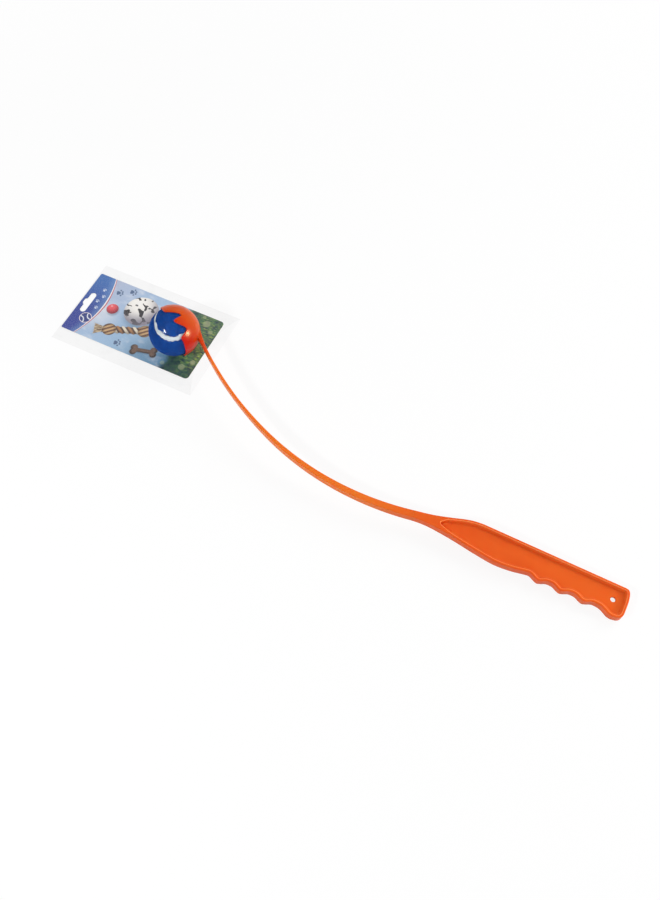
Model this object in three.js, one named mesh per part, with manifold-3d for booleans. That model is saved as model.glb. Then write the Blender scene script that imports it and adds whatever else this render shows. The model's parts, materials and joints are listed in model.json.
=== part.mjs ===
// Dog ball thrower: a springy moulded arm with a finger grip at one end and a clawed cup at the
// other, the felt ball that snaps into the cup, and the shop card and clear bag round the head.
// Millimetres, +Z up. It lies as on a table: the head on its card, the end of the grip on the table.
import * as THREE from 'three';
import { mergeVertices } from 'three/addons/utils/BufferGeometryUtils.js';
import Module from 'manifold-3d';

const wasm = await Module();
wasm.setup();

// Ball: two rubber half shells under two felt panels, with a rubber seam between the panels
const ballDiameter = 63.5;
const feltThickness = 2.3;
const coreWall = 3.3;
const seamWidth = 6.5;
const seamRecess = 0.5;
const cementGap = 0.6;
const seamSwingShare = 0.22;
const seamTurn = new THREE.Vector3(-92.6, -24.6, -223.7);

// Gap between pieces that are glued, laid or moulded against each other
const fitGap = 0.3;
const overrun = 5;

// Cup: part of a hollow ball whose open side points away from the arm
const cupClearance = 0.55;
const cupWall = 1.8;
const cupOpeningAngle = 53;
// Rim, from the side next to the arm round to the far side: angle round the opening, angle from it
const clawRimAngles = [
  [0, 94],
  [22, 93.5],
  [35, 91.5],
  [50, 110],
  [77, 90.5],
  [85, 112],
  [113, 81],
  [180, 84],
];

// Arm: two tangent arcs from the cup to the grip
const armRootAngle = 14;
const armTipAngle = -41.5;
const armTipRadius = 487;
const armTipSweep = 19.8;
const armBowRadius = 356.5;
const armBowSweep = 33.2;
const armTipWidth = 3.5;
const armGripWidth = 9.3;
const armTipHeight = 8.5;
const armEvenShare = 0.3;
const armFlareWidth = 3;
const armFlareLength = 16;
const armRunIn = 8;
const edgeRound = 1;

// Grip: a flat blade with a straight back, finger grooves, a pocket on each face and a hang hole
const gripThickness = 11;
const gripLength = 261;
const gripDepth = 39.6;
const gripBackRise = 20.55;
const gripRim = 3.2;
const gripWeb = 3;
const fingerPitch = 27.2;
const fingerGroove = 4.2;
const fingerCount = 3;
const pommelLength = 33.2;
const pocketSlope = 1.6;
const hangHoleDiameter = 6;
const hangHoleFromEnd = 16.6;
const hangHoleFromBack = 18.2;

// Points of the grip's outline: share along, share of the grip's depth from its back. Along is of the
// whole grip for the back and the pocket's nose, of the stretch before the grooves for the belly,
// and of the stretch past them for the pommel and the end.
const backShares = [
  [0.082, 0.399],
  [0.158, 0.242],
  [0.22, 0.099],
  [0.263, 0.029],
  [0.304, 0],
];
const bellyShares = [
  [0.146, 0.722],
  [0.352, 0.789],
  [0.557, 0.898],
  [0.729, 0.964],
  [0.866, 0.927],
];
const grooveDepthShare = 0.829;
const pommelShares = [
  [0.19, 0.85],
  [0.35, 0.91],
  [0.49, 0.976],
  [0.65, 1],
];
const endShares = [
  [0.84, 0.965],
  [0.94, 0.9],
  [0.988, 0.8],
  [1, 0.6],
  [1, 0.42],
  [0.988, 0.27],
  [0.958, 0.135],
  [0.925, 0.066],
  [0.862, 0.016],
  [0.78, 0],
];
const pocketNoseShares = [
  [0.168, 0.663],
  [0.126, 0.54],
  [0.152, 0.347],
];
const fingerSharpness = 1.4;

// Card and bag
const cardLength = 192.7;
const cardWidth = 100.4;
const cardThickness = 0.5;
const cardCorner = 5;
const cardHeaderMargin = 2.3;
const cardSideShift = 2.2;
const bagLength = 210.2;
const bagWidth = 134.4;
const bagMouth = 52.8;
const bagSideShift = 8.9;
const filmThickness = 0.3;
const filmClearance = 1;
const filmTouchdown = 84;
const sealWidth = 1.2;
const mouthClearance = 1.2;
const mouthRowShares = [0.5, 0.9, 1];
const slotLength = 32;
const slotWidth = 7.5;
const slotBumpWidth = 10;
const slotBumpRise = 3;
const slotFromHeader = 10.5;

// How finely round shapes are faceted
const panelSteps = 48;
const panelRows = 9;
const cupSteps = 72;
const cupRows = 8;
const armSteps = 14;
const coreSteps = 24;
const coreRows = 6;
const filmSideSteps = 12;
const domeRows = 5;
const grooveSteps = 6;
const outlineSteps = 3;
const curveSteps = 4;
const holeSteps = 24;
const cornerSteps = 3;

// Values that follow from the sizes
const ballRadius = ballDiameter / 2;
const feltInner = ballRadius - feltThickness;
const coreRadius = feltInner - cementGap;
const cupInner = ballRadius + cupClearance;
const cupOuter = cupInner + cupWall;

const materials = {
  moulding: { color: 0xe85f28, roughness: 0.38 },
  core: { color: 0x3c3a3a, roughness: 0.8 },
  felt: { color: 0x1e4396, roughness: 0.95 },
  seam: { color: 0xd9dfe6, roughness: 0.8 },
  card: { color: 0x6fa0cf, roughness: 0.35 },
  film: { color: 0xf4f7f8, roughness: 0.12 },
};

function named(name, geometry, look) {
  const mesh = new THREE.Mesh(geometry, new THREE.MeshStandardMaterial({ ...look, metalness: 0 }));
  mesh.name = name;
  return mesh;
}

const radians = THREE.MathUtils.degToRad;

function turned(x, y, angle) {
  return new THREE.Vector2(x, y).rotateAround(new THREE.Vector2(), angle);
}

// A closed body from corner points and triangles, turned inside out if its faces point in
function body(points, triangles) {
  const geometry = new THREE.BufferGeometry().setFromPoints(points);
  const volume = triangles.reduce((sum, [a, b, c]) => {
    return sum + points[a].dot(new THREE.Vector3().crossVectors(points[b], points[c]));
  }, 0);
  const outward = volume > 0 ? triangles : triangles.map(([a, b, c]) => [a, c, b]);
  geometry.setIndex(outward.flat());
  return geometry;
}

// Skin through rings of points. A loop joins the last ring to the first; otherwise the ends
// are closed by fans to the two end points.
function skin(rings, ends) {
  const count = rings[0].length;
  const points = rings.flat();
  const triangles = [];
  const pairs = ends ? rings.length - 1 : rings.length;
  for (let i = 0; i < pairs; i += 1) {
    const near = i * count;
    const far = ((i + 1) % rings.length) * count;
    for (let j = 0; j < count; j += 1) {
      const k = (j + 1) % count;
      triangles.push([near + j, near + k, far + k]);
      triangles.push([near + j, far + k, far + j]);
    }
  }
  if (ends) {
    const first = points.push(ends[0]) - 1;
    const last = points.push(ends[1]) - 1;
    const lastRing = (rings.length - 1) * count;
    for (let j = 0; j < count; j += 1) {
      const k = (j + 1) % count;
      triangles.push([first, k, j]);
      triangles.push([last, lastRing + j, lastRing + k]);
    }
  }
  return body(points, triangles);
}

function solid(geometry) {
  const bare = geometry.clone();
  bare.deleteAttribute('normal');
  bare.deleteAttribute('uv');
  const merged = mergeVertices(bare);
  return new wasm.Manifold(
    new wasm.Mesh({
      numProp: 3,
      vertProperties: new Float32Array(merged.attributes.position.array),
      triVerts: new Uint32Array(merged.index.array),
    }),
  );
}

function carve(geometry, cutters) {
  const result = cutters.reduce((left, cutter) => left.subtract(solid(cutter)), solid(geometry));
  const mesh = result.getMesh();
  const carved = new THREE.BufferGeometry();
  carved.setAttribute('position', new THREE.BufferAttribute(mesh.vertProperties, mesh.numProp));
  carved.setIndex(new THREE.BufferAttribute(mesh.triVerts, 1));
  return carved;
}

function slab(shape, thickness, bottom) {
  const geometry = new THREE.ExtrudeGeometry(shape, {
    depth: thickness,
    bevelEnabled: false,
    curveSegments: curveSteps,
  });
  return geometry.translate(0, 0, bottom);
}

// Ball
function coreHalf() {
  const profile = [];
  const rim = Math.asin(fitGap / 2 / coreRadius);
  const coreInner = coreRadius - coreWall;
  const innerRim = Math.asin(fitGap / 2 / coreInner);
  for (let i = 0; i <= coreRows; i += 1) {
    const up = THREE.MathUtils.lerp(Math.PI / 2, rim, i / coreRows);
    profile.push(new THREE.Vector2(coreRadius * Math.cos(up), coreRadius * Math.sin(up)));
  }
  for (let i = 0; i <= coreRows; i += 1) {
    const up = THREE.MathUtils.lerp(innerRim, Math.PI / 2, i / coreRows);
    profile.push(new THREE.Vector2(coreInner * Math.cos(up), coreInner * Math.sin(up)));
  }
  profile[0].x = 0;
  profile.at(-1).x = 0;
  return new THREE.LatheGeometry(profile.reverse(), coreSteps).rotateX(Math.PI / 2);
}

// Direction on the seam's middle line, and the direction across it, at a share of its length
function seamAt(share) {
  const t = share * Math.PI * 2;
  const swing = seamSwingShare;
  const lift = 2 * Math.sqrt(swing * (1 - swing));
  const along = new THREE.Vector3(
    -(1 - swing) * Math.sin(t) - 3 * swing * Math.sin(3 * t),
    (1 - swing) * Math.cos(t) - 3 * swing * Math.cos(3 * t),
    2 * lift * Math.cos(2 * t),
  );
  const out = new THREE.Vector3(
    (1 - swing) * Math.cos(t) + swing * Math.cos(3 * t),
    (1 - swing) * Math.sin(t) - swing * Math.sin(3 * t),
    lift * Math.sin(2 * t),
  );
  out.normalize();
  const across = new THREE.Vector3().crossVectors(out, along).normalize();
  return { out, across };
}

// Direction a given arc length to one side of the seam's middle line
function besideSeam(share, distance) {
  const { out, across } = seamAt(share);
  const angle = distance / ballRadius;
  return out.multiplyScalar(Math.cos(angle)).addScaledVector(across, Math.sin(angle));
}

function seamBand() {
  const half = (seamWidth - fitGap) / 2;
  const outer = ballRadius - seamRecess;
  const rings = Array.from({ length: panelSteps }, (_, i) => {
    const left = besideSeam(i / panelSteps, -half);
    const right = besideSeam(i / panelSteps, half);
    return [
      left.clone().multiplyScalar(feltInner),
      right.clone().multiplyScalar(feltInner),
      right.clone().multiplyScalar(outer),
      left.clone().multiplyScalar(outer),
    ];
  });
  return skin(rings);
}

// One felt panel: from the middle of its side of the ball out to the seam, and back underneath
function feltPanel(side) {
  const middle = new THREE.Vector3(0, 0, side);
  const edge = side * (seamWidth + fitGap) / 2;
  const ring = (radius, row) => {
    return Array.from({ length: panelSteps }, (_, i) => {
      const rim = besideSeam(i / panelSteps, edge);
      const angle = middle.angleTo(rim) * row / panelRows;
      const axis = new THREE.Vector3().crossVectors(middle, rim).normalize();
      return middle.clone().applyAxisAngle(axis, angle).multiplyScalar(radius);
    });
  };
  const rings = [];
  for (let row = 1; row <= panelRows; row += 1) rings.push(ring(feltInner, row));
  for (let row = panelRows; row >= 1; row -= 1) rings.push(ring(ballRadius, row));
  const poles = [feltInner, ballRadius].map((radius) => middle.clone().multiplyScalar(radius));
  return skin(rings, poles);
}

// Cup
function rimAngle(round) {
  const angle = THREE.MathUtils.radToDeg(Math.abs(round));
  const i = Math.max(clawRimAngles.findIndex(([place]) => place >= angle), 1);
  const [startPlace, startAngle] = clawRimAngles[i - 1];
  const [endPlace, endAngle] = clawRimAngles[i];
  const ease = (1 - Math.cos(Math.PI * (angle - startPlace) / (endPlace - startPlace))) / 2;
  return radians(THREE.MathUtils.lerp(startAngle, endAngle, ease));
}

const opening = new THREE.Vector3(-1, 0, 0).applyAxisAngle(
  new THREE.Vector3(0, 0, 1),
  radians(cupOpeningAngle),
);
const cupSide = new THREE.Vector3(-opening.y, opening.x, 0);

function cupShell() {
  const ring = (radius, row) => {
    return Array.from({ length: cupSteps }, (_, i) => {
      const round = 2 * Math.PI * i / cupSteps - Math.PI;
      const away = THREE.MathUtils.lerp(Math.PI, rimAngle(round), row / cupRows);
      const wide = radius * Math.sin(away);
      return opening.clone().multiplyScalar(radius * Math.cos(away))
        .addScaledVector(cupSide, wide * Math.cos(round))
        .add(new THREE.Vector3(0, 0, wide * Math.sin(round)));
    });
  };
  const rings = [];
  for (let row = 1; row <= cupRows; row += 1) rings.push(ring(cupInner, row));
  for (let row = cupRows; row >= 1; row -= 1) rings.push(ring(cupOuter, row));
  const poles = [cupInner, cupOuter].map((radius) => opening.clone().multiplyScalar(-radius));
  return skin(rings, poles);
}

// Arm
const armRoot = turned(cupOuter, 0, radians(armRootAngle));
const tipArc = armTipRadius * radians(armTipSweep);
const bowArc = armBowRadius * radians(armBowSweep);
const armLength = tipArc + bowArc;

// Point and direction of the arm's middle line, at a distance from the cup
function armAt(distance) {
  const arcPoint = (start, angle, radius, length) => {
    const turn = length / radius;
    const chord = 2 * radius * Math.sin(turn / 2);
    return start.clone().add(turned(chord, 0, angle + turn / 2));
  };
  const start = radians(armTipAngle);
  if (distance <= 0) return { point: armRoot.clone().add(turned(distance, 0, start)), angle: start };
  const tip = Math.min(distance, tipArc);
  const bow = distance - tip;
  const bowStart = start + tip / armTipRadius;
  const tipEnd = arcPoint(armRoot, start, armTipRadius, tip);
  return { point: arcPoint(tipEnd, bowStart, armBowRadius, bow), angle: bowStart + bow / armBowRadius };
}

function armWidth(distance) {
  const share = Math.max(distance / armLength - armEvenShare, 0) / (1 - armEvenShare);
  const nearCup = Math.max(1 - Math.max(distance, 0) / armFlareLength, 0);
  return THREE.MathUtils.lerp(armTipWidth, armGripWidth, share) + armFlareWidth * nearCup ** 2;
}

function armHeight(distance) {
  return THREE.MathUtils.lerp(armTipHeight, gripThickness, Math.max(distance, 0) / armLength);
}

function armSection(distance) {
  const { point, angle } = armAt(distance);
  const wide = armWidth(distance) / 2 - edgeRound;
  const high = armHeight(distance) / 2 - edgeRound;
  const ring = [];
  [[1, 1], [-1, 1], [-1, -1], [1, -1]].forEach(([across, up], corner) => {
    for (let i = 0; i < cornerSteps; i += 1) {
      const turn = (corner + i / (cornerSteps - 1)) * Math.PI / 2;
      const place = turned(0, across * wide + edgeRound * Math.cos(turn), angle).add(point);
      ring.push(new THREE.Vector3(place.x, place.y, up * high + edgeRound * Math.sin(turn)));
    }
  });
  return ring;
}

function flexArm() {
  const distances = [-armRunIn];
  for (let i = 0; i <= curveSteps; i += 1) distances.push(armFlareLength * i / curveSteps);
  for (let i = 1; i <= armSteps; i += 1) {
    distances.push(THREE.MathUtils.lerp(armFlareLength, armLength - fitGap, i / armSteps));
  }
  const ends = [distances[0], distances.at(-1)].map((distance) => {
    const { point } = armAt(distance);
    return new THREE.Vector3(point.x, point.y, 0);
  });
  const cupSpace = new THREE.SphereGeometry(cupOuter + fitGap, panelSteps, panelSteps / 2);
  return carve(skin(distances.map(armSection), ends), [cupSpace]);
}

// Grip
const gripStart = armAt(armLength);
const gripBack = gripStart.point.y + gripBackRise + armGripWidth / 2;
const gripEnd = gripStart.point.x + gripLength;

// Points of the grip's outline on a stretch of its length
function gripPoints(shares, start, end) {
  return shares.map(([along, down]) => {
    return new THREE.Vector2(THREE.MathUtils.lerp(start, end, along), gripBack - down * gripDepth);
  });
}

// The same points moved into the grip by a distance, square to the line through them
function insetPoints(points, distance) {
  return points.map((point, i) => {
    const behind = points[Math.max(i - 1, 0)];
    const ahead = points[Math.min(i + 1, points.length - 1)];
    const along = ahead.clone().sub(behind).normalize();
    return new THREE.Vector2(-along.y, along.x).multiplyScalar(distance).add(point);
  });
}

// Outline of the blade, or of a pocket set in from it, from the points of its nose, low to high
function gripOutline(nose, inset) {
  const start = gripStart.point.x;
  const fingerEnd = gripEnd - pommelLength;
  const fingerStart = fingerEnd - fingerCount * fingerPitch;
  const grooveShares = [];
  for (let i = 0; i <= fingerCount * grooveSteps; i += 1) {
    const bump = (1 - Math.cos(Math.PI * 2 * i / grooveSteps)) / 2;
    const share = grooveDepthShare + bump ** fingerSharpness * fingerGroove / gripDepth;
    grooveShares.push([i / grooveSteps / fingerCount, share]);
  }
  const stretches = [
    gripPoints(bellyShares, start, fingerStart),
    gripPoints(grooveShares, fingerStart, fingerEnd),
    gripPoints(pommelShares, fingerEnd, gripEnd),
    gripPoints(endShares, fingerEnd, gripEnd),
    gripPoints(backShares, start, gripEnd).reverse(),
  ];
  const edge = insetPoints(stretches.flat(), inset);
  const backCount = backShares.length;
  const endCount = endShares.length + 1;
  const pastNose = (points) => points.filter(({ x }) => x > nose[0].x);
  const low = [nose[0], ...pastNose(edge.slice(0, 1 - backCount - endCount))];
  const end = edge.slice(-backCount - endCount, -backCount);
  const back = [...pastNose(edge.slice(-backCount)), nose.at(-1)];
  const outline = [low, end, back, nose.toReversed()].flatMap((points) => {
    return new THREE.SplineCurve(points).getPoints((points.length - 1) * outlineSteps);
  });
  return new THREE.Shape(outline.filter((point, i) => i === 0 || point.distanceTo(outline[i - 1]) > 0));
}

function gripHandle() {
  const noseRun = armRunIn;
  const nose = [-1, 1].map((side) => {
    const tip = turned(-noseRun, side * armGripWidth / 2, gripStart.angle);
    return tip.add(gripStart.point);
  });
  const blade = new THREE.ExtrudeGeometry(gripOutline(nose, 0), {
    depth: gripThickness - 2 * edgeRound,
    bevelThickness: edgeRound,
    bevelSize: edgeRound,
    bevelOffset: -edgeRound,
    bevelSegments: 2,
  });
  blade.translate(0, 0, edgeRound - gripThickness / 2);
  const pocketNose = gripPoints(pocketNoseShares, gripStart.point.x, gripEnd);
  const pocketDepth = (gripThickness - gripWeb) / 2;
  const pocket = new THREE.ExtrudeGeometry(gripOutline(pocketNose, gripRim), {
    depth: overrun,
    bevelThickness: pocketDepth,
    bevelSize: pocketSlope,
    bevelOffset: -pocketSlope,
    bevelSegments: 3,
  });
  pocket.translate(0, 0, gripThickness / 2);
  const underside = pocket.clone().translate(0, 0, -gripThickness - overrun);
  const hole = new THREE.CylinderGeometry(
    hangHoleDiameter / 2,
    hangHoleDiameter / 2,
    gripThickness,
    holeSteps,
  );
  hole.rotateX(Math.PI / 2).translate(gripEnd - hangHoleFromEnd, gripBack - hangHoleFromBack, 0);
  const past = new THREE.BoxGeometry(2 * noseRun, gripDepth, gripThickness + overrun);
  past.translate(-noseRun, 0, 0).rotateZ(gripStart.angle);
  past.translate(gripStart.point.x, gripStart.point.y, 0);
  return carve(blade, [pocket, hole, past, underside]);
}

const thrower = new THREE.Group();
thrower.add(named('grip_handle', gripHandle(), materials.moulding));
thrower.add(named('flex_arm', flexArm(), materials.moulding));
const cup = named('ball_cup', cupShell(), materials.moulding);
thrower.add(cup);

const ball = new THREE.Group();
ball.add(named('core_half_top', coreHalf(), materials.core));
ball.add(named('core_half_bottom', coreHalf().rotateX(Math.PI), materials.core));
ball.add(named('felt_panel_a', feltPanel(1), materials.felt));
ball.add(named('felt_panel_b', feltPanel(-1), materials.felt));
ball.add(named('ball_seam', seamBand(), materials.seam));
ball.rotation.set(radians(seamTurn.x), radians(seamTurn.y), radians(seamTurn.z));
thrower.add(ball);

// Card and bag lie flat, in a stack from the table up: film, card, film. At the seal and the mouth
// the front film lies on the back film.
const cardBottom = filmThickness + fitGap;
const cardTop = cardBottom + cardThickness;
const filmSeat = cardTop + fitGap;
const bagHeader = bagMouth - bagLength;
const cardHeader = bagHeader + cardHeaderMargin;
const cardMiddle = bagSideShift + cardSideShift;

// The head lies on the card and the end of the grip on the table, which tilts the thrower
cup.geometry.computeBoundingBox();
const headHeight = filmSeat - cup.geometry.boundingBox.min.z;
const endDistance = Math.hypot(gripEnd, gripThickness / 2);
const tilt = Math.asin(headHeight / endDistance) - Math.atan(gripThickness / 2 / gripEnd);
thrower.rotation.y = tilt;
thrower.position.z = headHeight;

// A rectangle with its corners rounded, and the hang slot punched through it
function sheetShape(left, right, middle, width, corner) {
  const low = middle - width / 2;
  const high = middle + width / 2;
  const shape = new THREE.Shape();
  shape.absarc(right - corner, low + corner, corner, -Math.PI / 2, 0);
  shape.absarc(right - corner, high - corner, corner, 0, Math.PI / 2);
  shape.absarc(left + corner, high - corner, corner, Math.PI / 2, Math.PI);
  shape.absarc(left + corner, low + corner, corner, Math.PI, Math.PI * 1.5);
  shape.holes.push(new THREE.Path(slotShape().getPoints(curveSteps)));
  return shape;
}

// Hang slot: a bar with round ends across the card, and a round-topped bump towards the header
function slotShape() {
  const middle = cardHeader + slotFromHeader;
  const end = (slotLength - slotWidth) / 2;
  const shape = new THREE.Shape();
  shape.absarc(middle, cardMiddle + end, slotWidth / 2, 0, Math.PI);
  const shoulder = middle - slotWidth / 2;
  const bump = slotBumpWidth / 2;
  shape.lineTo(shoulder, cardMiddle + bump);
  const crown = shoulder - slotBumpRise;
  shape.bezierCurveTo(crown, cardMiddle + bump, crown, cardMiddle - bump, shoulder, cardMiddle - bump);
  shape.absarc(middle, cardMiddle - end, slotWidth / 2, Math.PI, Math.PI * 2);
  return shape;
}

function bagEdge() {
  const low = bagSideShift - bagWidth / 2;
  const high = bagSideShift + bagWidth / 2;
  const corners = [[bagMouth, low], [bagMouth, high], [bagHeader, high], [bagHeader, low]];
  return corners.flatMap(([x, y], side) => {
    const [nextX, nextY] = corners[(side + 1) % corners.length];
    return Array.from({ length: filmSideSteps }, (_, i) => {
      const share = i / filmSideSteps;
      const lerp = THREE.MathUtils.lerp;
      return { x: lerp(x, nextX, share), y: lerp(y, nextY, share), atMouth: side === 0 };
    });
  });
}

// Height of the film's free edge: it arches over the arm between the two ends of the mouth
function mouthHeight(y) {
  const reach = armRoot.y + bagMouth * Math.sin(radians(armTipAngle));
  const middle = THREE.MathUtils.clamp(reach, bagSideShift - bagWidth / 4, bagSideShift);
  const span = y > middle ? bagSideShift + bagWidth / 2 - middle : middle - bagSideShift + bagWidth / 2;
  const peak = headHeight + armTipHeight / 2 + mouthClearance;
  return THREE.MathUtils.lerp(peak, cardBottom, ((y - middle) / span) ** 2);
}

// One line of the film from the top of the head out to a point of the bag's edge: over the head,
// then straight down to where it lands, flat over the card, and down to the seal
function filmLine({ x, y, atMouth }, lift) {
  const reach = Math.hypot(x, y);
  const land = atMouth ? reach : Math.min(reach - 2 * sealWidth, filmTouchdown);
  const landHeight = (atMouth ? mouthHeight(y) : filmSeat) + lift;
  const radius = cupOuter + filmClearance + lift;
  const drop = headHeight - landHeight;
  const rise = Math.acos(radius / Math.hypot(land, drop)) - Math.atan2(drop, land);
  const line = [];
  for (let row = 1; row <= domeRows; row += 1) {
    const down = (Math.PI / 2 - rise) * row / domeRows;
    line.push([radius * Math.sin(down), headHeight + radius * Math.cos(down)]);
  }
  const [leave, leaveHeight] = line.at(-1);
  const along = (share) => {
    return [THREE.MathUtils.lerp(leave, land, share), THREE.MathUtils.lerp(leaveHeight, landHeight, share)];
  };
  if (atMouth) line.push(...mouthRowShares.map(along));
  else line.push([land, landHeight], [reach - sealWidth, landHeight], [reach, cardBottom + lift]);
  return line.map(([out, height]) => new THREE.Vector3(x / reach * out, y / reach * out, height));
}

function frontFilm() {
  const edge = bagEdge();
  const surface = (lift) => {
    const lines = edge.map((point) => filmLine(point, lift));
    return lines[0].map((_, row) => lines.map((line) => line[row]));
  };
  const top = new THREE.Vector3(0, 0, headHeight + cupOuter + filmClearance + filmThickness);
  const under = new THREE.Vector3(0, 0, headHeight + cupOuter + filmClearance);
  const rings = [...surface(filmThickness), ...surface(0).reverse()];
  return carve(skin(rings, [top, under]), [slab(slotShape(), overrun, 0)]);
}

const cardShape = sheetShape(cardHeader, cardHeader + cardLength, cardMiddle, cardWidth, cardCorner);
const filmShape = sheetShape(bagHeader, bagMouth, bagSideShift, bagWidth, sealWidth);
const pack = new THREE.Group();
pack.add(named('insert_card', slab(cardShape, cardThickness, cardBottom), materials.card));
pack.add(named('bag_back_film', slab(filmShape, filmThickness, 0), materials.film));
pack.add(named('bag_front_film', frontFilm(), materials.film));

// The origin is on the table, under the middle of the whole part
const part = new THREE.Group();
part.add(thrower, pack);
const box = new THREE.Box3().setFromObject(part, true);
const middle = box.getCenter(new THREE.Vector3());
part.position.set(-middle.x, -middle.y, -box.min.z);

export default part;
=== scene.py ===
"""Looks of the dog ball thrower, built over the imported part.

The thrower's own sizes are in millimetres, on axes that start at the middle of the ball: +X runs
towards the grip and +Z up through the thickness of the moulding. A Stance carries such points into
the row frame, in metres, where every piece of the scene stands.
"""

import json
import logging
import math
from dataclasses import dataclass, replace
from enum import Enum
from functools import reduce
from typing import Callable, Sequence, Union

import bmesh
import bpy
import numpy as np
from mathutils import Matrix, Vector, noise

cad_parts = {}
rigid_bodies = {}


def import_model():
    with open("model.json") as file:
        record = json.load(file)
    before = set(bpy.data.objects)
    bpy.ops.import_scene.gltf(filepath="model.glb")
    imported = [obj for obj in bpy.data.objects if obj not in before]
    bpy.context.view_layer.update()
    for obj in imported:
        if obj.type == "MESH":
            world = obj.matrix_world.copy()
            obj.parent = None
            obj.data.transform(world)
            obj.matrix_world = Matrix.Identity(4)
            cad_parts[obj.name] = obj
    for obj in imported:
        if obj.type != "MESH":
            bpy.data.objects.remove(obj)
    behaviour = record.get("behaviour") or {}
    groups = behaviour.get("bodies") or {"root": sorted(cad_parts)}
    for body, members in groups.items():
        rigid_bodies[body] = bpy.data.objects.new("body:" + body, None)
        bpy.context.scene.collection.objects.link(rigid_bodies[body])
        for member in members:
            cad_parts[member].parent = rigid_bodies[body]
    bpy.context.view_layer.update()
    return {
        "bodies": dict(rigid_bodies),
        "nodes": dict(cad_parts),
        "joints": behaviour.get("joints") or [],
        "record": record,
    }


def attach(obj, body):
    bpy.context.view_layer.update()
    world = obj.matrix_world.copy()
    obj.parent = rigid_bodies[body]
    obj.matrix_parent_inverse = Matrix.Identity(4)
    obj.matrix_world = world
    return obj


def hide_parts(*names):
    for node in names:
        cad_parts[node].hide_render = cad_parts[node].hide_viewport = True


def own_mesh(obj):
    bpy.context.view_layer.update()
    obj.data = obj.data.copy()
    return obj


log = logging.getLogger("thrower")

MM = 0.001
TINY = 1e-6
FAR = 1e4
Pair = tuple[float, float]
Trio = tuple[float, float, float]
Colour = Trio
Points = np.ndarray


def linear(code: str) -> Colour:
    """Turns a printed colour into the light values that shaders use.

    Args:
        code: the colour as six hexadecimal digits, such as "e95f28".

    Returns:
        Red, green and blue, from 0 to 1, in linear light.
    """
    shares = [int(code[i : i + 2], 16) / 255 for i in (0, 2, 4)]
    red, green, blue = [s / 12.92 if s <= 0.04045 else ((s + 0.055) / 1.055) ** 2.4 for s in shares]
    return red, green, blue


# Shader expressions


class Link:
    """An output of a node tree, such as a colour, a vector or a surface."""

    def __init__(self, shader: "Shader", socket: bpy.types.NodeSocket | None) -> None:
        """Keeps the output and the shader that it belongs to."""
        self.shader = shader
        self.socket = socket

    def beside(self, name: int | str) -> "Signal":
        """Another output of the same node, one that gives a number."""
        return Signal(self.shader, self.socket.node.outputs[name])


Value = Union[float, str, tuple, Link]


def math_node(operation: str, turned: bool = False) -> Callable[..., "Signal"]:
    """A method for Signal that adds one Math node.

    Args:
        operation: what the node does.
        turned: whether the signal is its second term, as in 1 - signal.

    Returns:
        The method.
    """

    def method(self: "Signal", *terms: Value) -> "Signal":
        """Adds the node for the signal and any other term."""
        every = (*terms, self) if turned else (self, *terms)
        return self.shader.node("ShaderNodeMath", {"operation": operation}, dict(enumerate(every)))

    return method


class Signal(Link):
    """A number that varies over a surface. Arithmetic on it adds Math nodes."""

    __add__ = __radd__ = math_node("ADD")
    __mul__ = __rmul__ = math_node("MULTIPLY")
    __sub__ = math_node("SUBTRACT")
    __rsub__ = math_node("SUBTRACT", turned=True)
    __truediv__ = math_node("DIVIDE")
    __rtruediv__ = math_node("DIVIDE", turned=True)
    __pow__ = math_node("POWER")
    __abs__ = math_node("ABSOLUTE")
    least = math_node("MINIMUM")
    most = math_node("MAXIMUM")
    sine = math_node("SINE")

    def step(self, start: float, end: float) -> "Signal":
        """Eases from 0 at start to 1 at end.

        Args:
            start: the value of self where the result is 0.
            end: the value of self where the result is 1; it may lie below start.

        Returns:
            The eased share.
        """
        low, high = sorted((start, end))
        first, last = (0.0, 1.0) if start < end else (1.0, 0.0)
        sockets = {"Value": self, "From Min": low, "From Max": high, "To Min": first, "To Max": last}
        return self.shader.node("ShaderNodeMapRange", {"interpolation_type": "SMOOTHSTEP"}, sockets)


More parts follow.
